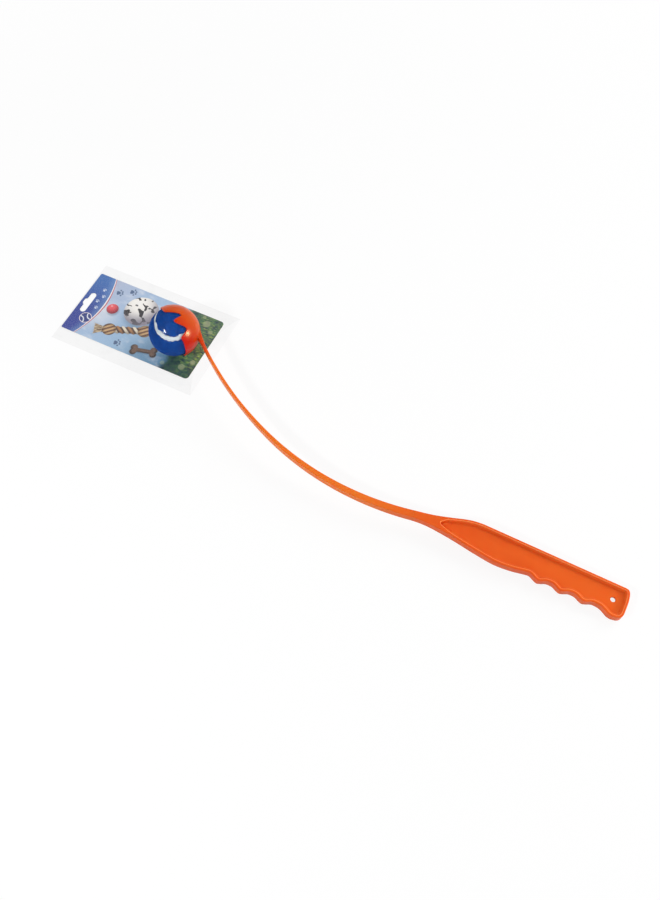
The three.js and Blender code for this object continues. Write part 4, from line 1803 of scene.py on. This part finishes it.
@dataclass
class FeltBall:
    """A tennis-type ball: two felt panels over a rubber core, with a pale seam between them.

    Attributes:
        stance: where the thrower lies.
        radius: radius of the ball.
        felt: thickness of the felt.
        turn: how the ball is turned, in degrees about X, Y and Z.
        swing: how far the seam sways, as a share.
        seam_width: width of the seam.
        seam_recess: how far the seam lies below the felt.
        seam_crown: how much deeper its sides lie.
        seam_under: how far it reaches under the felt at each side.
        seam_lumps: size of its lumps, and how high they are.
        seam_columns: points along the seam.
        seam_rows: points across the seam.
        ragged: how far the felt's edge wanders.
        ragged_sizes: size of the wanderings, coarse and fine.
        fine_share: how strong the fine ones are beside the coarse ones.
        nap: how far the felt's surface stands up and down.
        nap_sizes: size of its unevenness, fine and coarse.
        sink: how far the felt lies below the pile's tips.
        roll: how far from its edge a panel starts to round over.
        roll_steps: how many rings the rounded edge has.
        drop: how far it falls to the edge.
        columns: points round a panel.
        rows: rings of a panel.
        under_shares: where the rings of its underside lie, from the edge to the middle.
        bald_rings: how many rings in the middle of a panel have no loose fibres.
        fibres: loose fibres on a panel.
        fibre_lengths: the least and the greatest length of a fibre.
        fibre_shares: how far each half of a fibre rises and leans, as shares of its length.
        fibre_root: how deep a fibre starts below the surface.
        fibre_curl: how strongly a fibre bends to the side.
        first_curl_share: how much of that bend is in its first half.
        fibre_width: half the width of a fibre.
        sharp: edges with a larger angle than this stay crisp, in degrees.
    """

    stance: Stance
    radius: float = 31.75
    felt: float = 2.3
    turn: Trio = (-92.6, -24.6, -223.7)
    swing: float = 0.22
    seam_width: float = 6.5
    seam_recess: float = 0.5
    seam_crown: float = 0.55
    seam_under: float = 0.3
    seam_lumps: Pair = (2.0, 0.14)
    seam_columns: int = 480
    seam_rows: int = 11
    ragged: float = 2.4
    ragged_sizes: Pair = (3.4, 0.9)
    fine_share: float = 0.5
    nap: float = 0.16
    nap_sizes: Pair = (1.5, 8.0)
    sink: float = 0.08
    roll: float = 1.5
    roll_steps: int = 6
    drop: float = 1.1
    columns: int = 320
    rows: int = 34
    under_shares: tuple[float, ...] = (0.75, 0.5, 0.25, 0.05)
    bald_rings: int = 4
    fibres: int = 3600
    fibre_lengths: Pair = (0.35, 0.95)
    fibre_shares: tuple[Pair, Pair] = ((0.32, 0.55), (0.16, 0.6))
    fibre_root: float = 0.1
    fibre_curl: float = 0.4
    first_curl_share: float = 0.3
    fibre_width: float = 0.035
    sharp: float = 60.0

    def __post_init__(self) -> None:
        """Works out the ball's rotation in the thrower."""
        x, y, z = (math.radians(a) for a in self.turn)
        spin = Matrix.Rotation(x, 3, "X") @ Matrix.Rotation(y, 3, "Y") @ Matrix.Rotation(z, 3, "Z")
        self.spin = np.array(spin)

    def to_row(self, points: Points) -> Points:
        """Carries points from the ball's own axes, in mm, into the row frame, in metres."""
        return self.stance.to_row(points @ self.spin.T)

    def beside_seam(self, shares: Points, distance: Points) -> Points:
        """Directions beside the seam's middle line.

        Args:
            shares: how far round the seam each one is, from 0 to 1.
            distance: how far to the side of it, in mm.

        Returns:
            Unit vectors from the middle of the ball.
        """
        t = shares * 2 * np.pi
        s = self.swing
        lift = 2 * math.sqrt(s * (1 - s))
        along_x = -(1 - s) * np.sin(t) - 3 * s * np.sin(3 * t)
        along_y = (1 - s) * np.cos(t) - 3 * s * np.cos(3 * t)
        along = np.stack([along_x, along_y, 2 * lift * np.cos(2 * t)], axis=1)
        out_x = (1 - s) * np.cos(t) + s * np.cos(3 * t)
        out_y = (1 - s) * np.sin(t) - s * np.sin(3 * t)
        out = unit(np.stack([out_x, out_y, lift * np.sin(2 * t)], axis=1))
        across = unit(np.cross(out, along))
        angle = (distance / self.radius)[:, None]
        return out * np.cos(angle) + across * np.sin(angle)

    def _wander(self, directions: Points, size: float, seed: float) -> Points:
        """Smooth noise from -1 to 1 over the ball, with features of a given size in mm."""
        spots = directions * (self.radius / size) + seed
        return np.array([noise.fractal(Vector(p), 1.0, 2.0, 3) for p in spots])

    def panel(self, side: Panel, material: bpy.types.Material) -> bpy.types.Object:
        """One felt panel, crowned at its edge, with ragged sides and loose fibres.

        Args:
            side: which panel.
            material: its finish.

        Returns:
            The piece.
        """
        shell = Shell()
        shares = np.arange(self.columns) / self.columns
        half = side.value * self.seam_width / 2
        base = self.beside_seam(shares, np.full(self.columns, half))
        coarse, fine = self.ragged_sizes
        stray = self._wander(base, coarse, seed=3.0 * side.value) * self.ragged
        stray += self._wander(base, fine, seed=7.0 * side.value) * self.ragged * self.fine_share
        rim = self.beside_seam(shares, half + side.value * stray)
        middle = np.array([0.0, 0.0, float(side.value)])
        angle = np.arccos(np.clip(rim @ middle, -1, 1))
        sideways = np.cross(unit(np.cross(middle, rim)), middle)

        def ring(share: float) -> Points:
            """Directions at a share of the way from the panel's middle to its edge."""
            a = (angle * share)[:, None]
            return middle * np.cos(a) + sideways * np.sin(a)

        roll = self.roll / (self.radius * float(angle.mean()))
        flat = np.linspace(0, 1 - roll, self.rows)[1:]
        edge = 1 - roll + roll * np.sin(np.linspace(0, math.pi / 2, self.roll_steps + 1)[1:])
        top = []
        for share in [*flat, *edge]:
            directions = ring(share)
            fall = max(share - (1 - roll), 0) / roll
            drop = self.drop * (1 - math.sqrt(max(1 - fall**2, 0)))
            rough = self._wander(directions, self.nap_sizes[0], seed=11.0) * self.nap
            rough += self._wander(directions, self.nap_sizes[1], seed=5.0) * self.nap
            top.append(directions * (self.radius - drop + rough - self.sink)[:, None])
        inside = self.radius - self.felt
        rings = [shell.ring(points) for points in top]
        under = [shell.ring(directions * inside) for directions in [rim, *map(ring, self.under_shares)]]
        shell.bridges([*rings, *under])
        shell.fan(rings[0], shell.ring(middle[None] * (self.radius - self.sink)))
        shell.fan(under[-1], shell.ring(middle[None] * inside))
        self._pile(shell, np.vstack(top[self.bald_rings :]), side)
        return shell.piece(f"felt_{side.name.lower()}", self.to_row, [material], self.sharp)

    def _pile(self, shell: Shell, roots: Points, side: Panel) -> None:
        """Loose fibres: thin curved ribbons that stand up from the felt.

        Args:
            shell: the panel so far.
            roots: the places that they may grow from.
            side: which panel it is.
        """
        dice = np.random.default_rng(20 + side.value)
        chosen = roots[dice.integers(0, len(roots), self.fibres)]
        outward = unit(chosen)
        lean = dice.normal(size=(self.fibres, 3))
        lean = unit(lean - outward * np.sum(lean * outward, axis=1)[:, None])
        across = np.cross(outward, lean)
        length = dice.uniform(*self.fibre_lengths, self.fibres)[:, None]
        curl = dice.uniform(-self.fibre_curl, self.fibre_curl, self.fibres)[:, None]
        (first_rise, first_lean), (last_rise, last_lean) = self.fibre_shares
        start = chosen - outward * self.fibre_root
        bent = curl * self.first_curl_share * across
        middle = start + length * (first_rise * outward + first_lean * lean + bent)
        end = middle + length * (last_rise * outward + last_lean * lean + curl * across)
        wide = across * self.fibre_width
        points = np.stack([start - wide, start + wide, middle + wide, middle - wide, end], axis=1)
        numbers = np.array(shell.ring(points.reshape(-1, 3))).reshape(-1, 5)
        for a, b, c, d, e in numbers.tolist():
            shell.face((a, b, c, d))
            shell.face((d, c, e))

    def seam(self, material: bpy.types.Material) -> bpy.types.Object:
        """The seam: a crowned, slightly lumpy band between the panels.

        Args:
            material: its finish.

        Returns:
            The piece.
        """
        shell = Shell()
        shares = np.arange(self.seam_columns) / self.seam_columns
        half = self.seam_width / 2 + self.seam_under
        size, height = self.seam_lumps
        rings = []
        for across in np.linspace(-1, 1, self.seam_rows):
            directions = self.beside_seam(shares, np.full(self.seam_columns, across * half))
            lumps = self._wander(directions, size, seed=1.0) * height
            crown = self.seam_recess + self.seam_crown * across**2
            rings.append(shell.ring(directions * (self.radius - crown + lumps)[:, None]))
        for side in (half, -half):
            directions = self.beside_seam(shares, np.full(self.seam_columns, side))
            rings.append(shell.ring(directions * (self.radius - self.felt)))
        shell.bridges([*rings, rings[0]])
        return shell.piece("seam_band", self.to_row, [material], self.sharp)

    def build(self, frame: dict, felt: NeedledFelt, seam: CuredSeam, core: CoreRubber) -> None:
        """Makes the panels and the seam, and dresses the core's two halves.

        Args:
            frame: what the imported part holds.
            felt: finish of the panels.
            seam: finish of the seam.
            core: finish of the core.
        """
        blue = felt.material()
        for side, node in ((Panel.A, "felt_panel_a"), (Panel.B, "felt_panel_b")):
            piece = self.panel(side, blue)
            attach(piece, "ball")
            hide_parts(node)
        band = self.seam(seam.material())
        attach(band, "ball")
        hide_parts("ball_seam")
        rubber = core.material()
        for node in ("core_half_top", "core_half_bottom"):
            mesh = frame["nodes"][node].data
            mesh.materials.clear()
            mesh.materials.append(rubber)


# Card and bag


@dataclass
class ShopPack:
    """The printed card and the clear bag round the head.

    Lengths are in mm from the point on the table under the middle of the ball.

    Attributes:
        stance: where the thrower lies.
        card: header edge, far edge, low side and high side of the card.
        card_levels: underside and face of the card.
        card_edge: how far the card's cut edges are rounded, inwards and in height.
        corners: radius of the card's corners at the far edge and at the header edge.
        corner_points: how many points each corner has.
        slot_middle: middle of the hang slot.
        slot_size: length and width of the slot.
        slot_bump: width and rise of its bump.
        slot_power: how bluntly the bump rises; at 1 it is a plain wave.
        slot_steps: points round each end of the slot and over its bump.
        bag: header edge, mouth, low side and high side of the bag.
        film_slot: how much wider than the card's slot the films' is, on each side.
        film_gap: how far from the slot's edge the films' even mesh ends.
        pitch: distance between the films' points.
        head_height: height of the middle of the ball.
        dome: radius of the film over the head.
        touchdown: how far from the middle the film lands on the card.
        seat: height of the film where it lies on the card.
        seal: width of the welded edge.
        weld: height of the front film at the welded edge.
        arm_crossing: where the arm passes under the mouth, across the bag.
        arm_top: height of the front film over the arm there.
        mouth_edge: height of the front film at the ends of the mouth.
        mouth_blend: how wide the film's turn from a side to the mouth is.
        mouth_reach: how far past the nearest side the mouth shapes the film.
        folds: how many creases of each kind go round the head, where they start, and their share.
        fold_depths: depth of the creases, and how much it varies round the head.
        fold_low: the lowest that creases together may reach, as a share of that depth.
        back_lift: height of the back film, and of its ripples.
        ripples: size of those ripples along and across the bag.
        ripple_start: where the ripples across the bag start, in radians.
    """

    stance: Stance
    card: tuple[float, float, float, float] = (-155.1, 37.6, -39.1, 61.3)
    card_levels: Pair = (0.6, 1.1)
    card_edge: Pair = (0.12, 0.1)
    corners: Pair = (5.0, 2.2)
    corner_points: int = 10
    slot_middle: Pair = (-144.6, 11.1)
    slot_size: Pair = (33.4, 7.9)
    slot_bump: Pair = (10.0, 3.0)
    slot_power: float = 0.8
    slot_steps: tuple[int, int] = (17, 13)
    bag: tuple[float, float, float, float] = (-157.4, 52.8, -58.3, 76.1)
    film_slot: float = 0.15
    film_gap: float = 0.55
    pitch: float = 1.6
    head_height: float = 34.866
    dome: float = 35.2
    touchdown: float = 84.0
    seat: float = 1.4
    seal: float = 2.2
    weld: float = 0.62
    arm_crossing: float = -24.7
    arm_top: float = 40.3
    mouth_edge: float = 0.6
    mouth_blend: float = 36.0
    mouth_reach: float = 30.0
    folds: tuple[Trio, ...] = ((9, 0.8, 0.6), (17, 2.1, 0.4))
    fold_depths: Pair = (1.1, 0.5)
    fold_low: float = -0.3
    back_lift: Pair = (0.12, 0.05)
    ripples: Pair = (17, 13)
    ripple_start: float = 0.6

    def _slot_line(self, grow: float) -> Points:
        """The slot's outline.

        Args:
            grow: how far outside the slot's edge it lies.

        Returns:
            Its points.
        """
        x, y = self.slot_middle
        length, width = self.slot_size
        bump, rise = self.slot_bump
        round_steps, bump_steps = self.slot_steps
        end = (length - width) / 2
        radius = width / 2 + grow
        turns = heading(np.linspace(0, math.pi, round_steps)) * radius
        sweep = np.linspace(0, math.pi, bump_steps)
        swell = np.sin(sweep) ** self.slot_power
        high = turns + (x, y + end)
        side = np.stack([x - radius - (rise - grow) * swell, y + bump / 2 * np.cos(sweep)], axis=1)
        low = -turns + (x, y - end)
        return np.vstack([high, side, low])

    def _card_line(self, inset: float) -> Points:
        """The card's outline, with rounded corners.

        Args:
            inset: how far inside the card's edge it lies.

        Returns:
            Its points, from the far low corner round.
        """
        left, right, low, high = self.card
        far, near = self.corners
        corners = [(right - far, low + far, -90, far), (right - far, high - far, 0, far)]
        corners += [(left + near, high - near, 90, near), (left + near, low + near, 180, near)]
        arcs = []
        for x, y, start, radius in corners:
            turns = np.radians(np.linspace(start, start + 90, self.corner_points))
            arcs.append(heading(turns) * (radius - inset) + (x, y))
        return np.vstack(arcs)

    def insert_card(self, front: bpy.types.Material, back: bpy.types.Material) -> bpy.types.Object:
        """The card, with its cut edges softened and the slot punched through.

        Args:
            front: finish of its face.
            back: finish of its back and its edges.

        Returns:
            The piece.
        """
        shell = Shell()
        low, high = self.card_levels
        inset, rise = self.card_edge
        outer, holes = [], []
        for in_by, z in [(inset, low), (0.0, low + rise), (0.0, high - rise), (inset, high)]:
            outer.append(shell.ring(lifted(self._card_line(in_by), z)))
            holes.append(shell.ring(lifted(self._slot_line(in_by), z)))
        shell.bridges(outer, slot=1)
        shell.bridges(holes, slot=1)
        shell.fill([outer[0], holes[0]], slot=1)
        shell.fill([outer[-1], holes[-1]])
        return shell.piece("printed_card", self.stance.upright, [front, back])

    def _sheet(
        self, name: str, height: Callable[[Points, Points], Points], film: bpy.types.Material
    ) -> bpy.types.Object:
        """A sheet of film over the whole bag, with the slot cut out.

        Args:
            name: the piece's name.
            height: gives the sheet's height at places along and across the bag.
            film: its finish.

        Returns:
            The piece.
        """
        left, right, low, high = self.bag
        xs = np.linspace(left, right, int((right - left) / self.pitch) + 1)
        ys = np.linspace(low, high, int((high - low) / self.pitch) + 1)
        places = np.stack(np.meshgrid(xs, ys, indexing="ij"), axis=-1).reshape(-1, 2)
        slot = self._slot_line(self.film_slot)
        clear = ~self._inside(places, slot) & (self._nearest(places, slot) > self.film_gap)
        shell = Shell()
        numbers = -np.ones(len(places), int)
        numbers[clear] = shell.ring(places[clear])
        grid = numbers.reshape(len(xs), len(ys))
        hole = shell.ring(slot)
        corners = np.stack([grid[:-1, :-1], grid[1:, :-1], grid[1:, 1:], grid[:-1, 1:]], axis=-1)
        for quad in corners.reshape(-1, 4).tolist():
            if min(quad) >= 0:
                shell.face(quad)
        shell.fill([self._gap_loop(grid), hole])
        flat = np.vstack(shell.points)
        shell.points = [np.column_stack([flat, height(flat[:, 0], flat[:, 1])])]
        return shell.piece(name, self.stance.upright, [film], sharp=180.0)

    @staticmethod
    def _inside(points: Points, line: Points) -> Points:
        """Whether points lie inside a closed line.

        Args:
            points: the points.
            line: the line's own points.

        Returns:
            Yes or no for each point.
        """
        x, y = points.T
        result = np.zeros(len(points), bool)
        for (ax, ay), (bx, by) in zip(line, np.roll(line, -1, axis=0)):
            if ay != by:
                result ^= ((ay > y) != (by > y)) & (x < (bx - ax) * (y - ay) / (by - ay) + ax)
        return result

    @staticmethod
    def _nearest(points: Points, line: Points) -> Points:
        """Distance of each point from a line's own points."""
        return np.min(np.linalg.norm(points[:, None] - line[None], axis=2), axis=1)

    @staticmethod
    def _gap_loop(grid: Points) -> list[int]:
        """The way round the gap that the slot leaves in a grid.

        Args:
            grid: the number of each of its points, or -1 where there is none.

        Returns:
            The numbers of the points round the gap.
        """
        whole = grid >= 0
        cells = whole[:-1, :-1] & whole[1:, :-1] & whole[1:, 1:] & whole[:-1, 1:]
        follow: dict[int, int] = {}
        for i, j in zip(*np.nonzero(cells)):
            sides = [((i, j), (i + 1, j), (i, j - 1)), ((i + 1, j), (i + 1, j + 1), (i + 1, j))]
            sides += [((i + 1, j + 1), (i, j + 1), (i, j + 1)), ((i, j + 1), (i, j), (i - 1, j))]
            for start, end, (ni, nj) in sides:
                if 0 <= ni < cells.shape[0] and 0 <= nj < cells.shape[1] and not cells[ni, nj]:
                    follow[int(grid[start])] = int(grid[end])
        loop = [next(iter(follow))]
        while follow[loop[-1]] != loop[0]:
            loop.append(follow[loop[-1]])
        return loop

    @staticmethod
    def _to_side(limit: float, share: Points) -> Points:
        """How far a side of the bag is in directions of which a share goes across it."""
        toward = np.maximum(share * math.copysign(1.0, limit), TINY)
        return np.where(toward > TINY, abs(limit) / toward, FAR)

    def _landing(self, cos: Points, sin: Points) -> tuple[Points, Points, Points]:
        """Where the front film comes down: on the card, at a seal, or in the arch of the mouth.

        Args:
            cos: share along the bag of each direction from the head.
            sin: share across it.

        Returns:
            How far from the head it comes down, at what height, and how much the mouth shapes it.
        """
        left, right, low, high = self.bag
        to_mouth = self._to_side(right, cos)
        side = np.minimum(self._to_side(high, sin), self._to_side(low, sin))
        side = np.minimum(side, self._to_side(left, cos))
        mouth_y = np.clip(to_mouth * sin, low, high)
        below = mouth_y <= self.arm_crossing
        span = np.where(below, self.arm_crossing - low, high - self.arm_crossing)
        off = np.clip(np.abs(mouth_y - self.arm_crossing) / span, 0, 1)
        arch = self.arm_top + (self.mouth_edge - self.arm_top) * off**2
        near = eased(np.clip((side - to_mouth) / self.mouth_blend + 0.5, 0, 1))
        landed = np.minimum(side - self.seal, self.touchdown)
        land = landed + (np.minimum(to_mouth, side + self.mouth_reach) - landed) * near
        return land, self.seat + (arch - self.seat) * near, near

    def _front_height(self, x: Points, y: Points) -> Points:
        """Height of the front film, which goes over the head and down to the card and the seals.

        Args:
            x: places along the bag.
            y: places across it.

        Returns:
            The heights.
        """
        left, _, low, high = self.bag
        reach = np.maximum(np.hypot(x, y), TINY)
        land, ground, near = self._landing(x / reach, y / reach)
        drop = self.head_height - ground
        rise = np.arccos(np.clip(self.dome / np.hypot(land, drop), -1, 1)) - np.arctan2(drop, land)
        leave = self.dome * np.cos(rise)
        leave_height = self.head_height + self.dome * np.sin(rise)
        under = np.maximum(self.dome**2 - np.minimum(reach, leave) ** 2, 0)
        share = np.clip((reach - leave) / np.maximum(land - leave, TINY), 0, 1)
        slope = leave_height + (ground - leave_height) * share
        around = np.arctan2(y, x)
        folds = sum(np.sin(around * count + start) * part for count, start, part in self.folds)
        depth = self.fold_depths[0] + self.fold_depths[1] * np.sin(around * 3)
        pull = np.sin(np.pi * share) * depth * np.maximum(folds, self.fold_low)
        draped = np.where(reach < leave, self.head_height + np.sqrt(under), slope + pull)
        to_edge = np.minimum(np.minimum(x - left, high - y), y - low)
        settle = eased(np.clip(to_edge / self.seal - 0.5, 0, 1))
        lowest = self.seat + (self.weld - self.seat) * near
        return self.weld + (np.maximum(draped, lowest) - self.weld) * settle

    def _back_height(self, x: Points, y: Points) -> Points:
        """Height of the back film: flat on the table, with slight ripples."""
        waves = np.sin(x / self.ripples[0]) * np.sin(y / self.ripples[1] + self.ripple_start)
        return self.back_lift[0] + self.back_lift[1] * waves

    def build(self, card: PrintedCard, film: ClearFilm) -> None:
        """Makes the card and the two films.

        Args:
            card: finish of the card.
            film: finish of the bag.
        """
        clear = film.material()
        sheet = self.insert_card(card.material(Print.FRONT), card.material(Print.BACK))
        back = self._sheet("bag_back", self._back_height, clear)
        front = self._sheet("bag_front", self._front_height, clear)
        named = (
            (sheet, "insert_card", "printed_card"),
            (back, "bag_back_film", "clear_film"),
            (front, "bag_front_film", "clear_film"),
        )
        for piece, node, slot in named:
            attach(piece, "retail_pack")
            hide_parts(node)
        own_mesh(front)


# Studio


def placed(name: str, data: bpy.types.ID, place: Trio, gaze: Sequence[float]) -> bpy.types.Object:
    """Adds a lamp or a camera to the scene.

    Args:
        name: what it is called.
        data: the lamp or camera.
        place: where it stands, in metres.
        gaze: the direction that it is turned in.

    Returns:
        The new object.
    """
    made = bpy.data.objects.new(name, data)
    made.location = place
    made.rotation_euler = Vector(gaze).to_track_quat("-Z", "Y").to_euler()
    bpy.context.scene.collection.objects.link(made)
    return made


@dataclass(frozen=True)
class Lamp:
    """A soft box.

    Attributes:
        name: what it is called.
        place: where it hangs, in metres.
        sides: its width and height, in metres.
        watts: its strength.
        aim: what it is turned to, in metres.
        hue: its colour.
        spread: angle of its beam, in degrees.
        lights: whether it lights matt surfaces.
        gleams: whether it shows in gloss.
    """

    name: str
    place: Trio
    sides: Pair
    watts: float
    aim: Trio = (-0.24, 0.02, 0.03)
    hue: Colour = (1.0, 1.0, 1.0)
    spread: float = 180.0
    lights: bool = True
    gleams: bool = True

    def hang(self) -> None:
        """Adds the lamp to the scene."""
        data = bpy.data.lights.new(self.name, "AREA")
        data.shape = "RECTANGLE"
        data.size, data.size_y = self.sides
        data.energy = self.watts
        data.color = self.hue
        data.spread = math.radians(self.spread)
        made = placed(self.name, data, self.place, Vector(self.aim) - Vector(self.place))
        made.visible_camera = False
        made.visible_diffuse = self.lights
        made.visible_glossy = self.gleams


@dataclass
class Studio:
    """Camera, lamps, pale floor and white surroundings.

    Attributes:
        eye: place of the camera, in metres.
        gaze: direction that it looks in.
        lens: focal length, in mm.
        sensor: width of the sensor, in mm.
        lamps: the lamps.
        ambient: strength of the light from all round.
        floor_rings: radii of the floor's rings, in mm.
        floor_points: how many points each ring has.
        floor_level: height of the floor, in mm; the bag lies just above it.
    """

    eye: Trio = (0.27351, -0.58225, 1.07370)
    gaze: Trio = (-0.2158, 0.4441, -0.8696)
    lens: float = 40.0
    sensor: float = 36.0
    lamps: tuple[Lamp, ...] = (
        Lamp("key", (1.55, 2.6, 2.0), (2.2, 2.2), 82.0, gleams=False),
        Lamp("front", (-0.62, -1.219, 1.188), (0.16, 0.16), 13.5, gleams=False),
        Lamp("side", (1.6, 0.2, 0.45), (0.3, 0.3), 9.0, gleams=False),
        Lamp(
            "film_gleam",
            (-0.2583, -0.0859, 0.147),
            (0.01, 0.025),
            0.004,
            aim=(-0.2368, -0.0033, 0.0627),
            spread=12.0,
            lights=False,
        ),
        Lamp(
            "cup_gleam",
            (-0.1166, 0.0284, 0.072),
            (0.016, 0.016),
            0.0036,
            aim=(-0.2137, 0.0119, 0.0545),
            hue=(1.0, 0.78, 0.4),
            spread=14.0,
            lights=False,
        ),
    )
    ambient: float = 0.35
    floor_rings: Trio = (400.0, 1500.0, 6000.0)
    floor_points: int = 64
    floor_level: float = -0.4

    def camera(self) -> None:
        """Sets the camera to the photograph's view."""
        data = bpy.data.cameras.new("view")
        data.lens = self.lens
        data.sensor_width = self.sensor
        bpy.context.scene.camera = placed("view", data, self.eye, self.gaze)

    def surround(self) -> None:
        """Gives the world its light, and white to what the camera sees of it."""
        shader = Shader("surround", world=True)
        sockets = {"Value": shader.seen(), "To Min": self.ambient, "To Max": 1.0}
        strength = shader.node("ShaderNodeMapRange", sockets=sockets)
        sockets = {"Color": (1.0, 1.0, 1.0), "Strength": strength}
        bpy.context.scene.world = shader.finish(shader.node("ShaderNodeBackground", sockets=sockets))

    def floor(self, finish: StudioFloor) -> None:
        """Lays the floor.

        Args:
            finish: what it is painted with.
        """
        shell = Shell()
        flat = circle(self.floor_points)
        rings = [shell.ring(lifted(flat * radius, self.floor_level)) for radius in self.floor_rings]
        shell.bridges(rings)
        shell.fill([rings[0]])
        made = shell.piece("floor", lambda points: points * MM, [finish.material()])

    def build(self, floor: StudioFloor) -> None:
        """Makes the camera, the lamps, the world and the floor.

        Args:
            floor: finish of the floor.
        """
        self.camera()
        for lamp in self.lamps:
            lamp.hang()
        self.surround()
        self.floor(floor)
        bpy.context.scene.view_settings.view_transform = "Standard"


def main() -> None:
    """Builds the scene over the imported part."""
    logging.basicConfig(level=logging.INFO, format="%(name)s %(message)s")
    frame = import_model()
    stance = Stance()
    Studio().build(StudioFloor())
    Moulding(stance).build(MouldedPlastic())
    FeltBall(stance).build(frame, NeedledFelt(), CuredSeam(), CoreRubber())
    ShopPack(stance).build(PrintedCard(), ClearFilm())


if __name__ == "__main__":
    main()
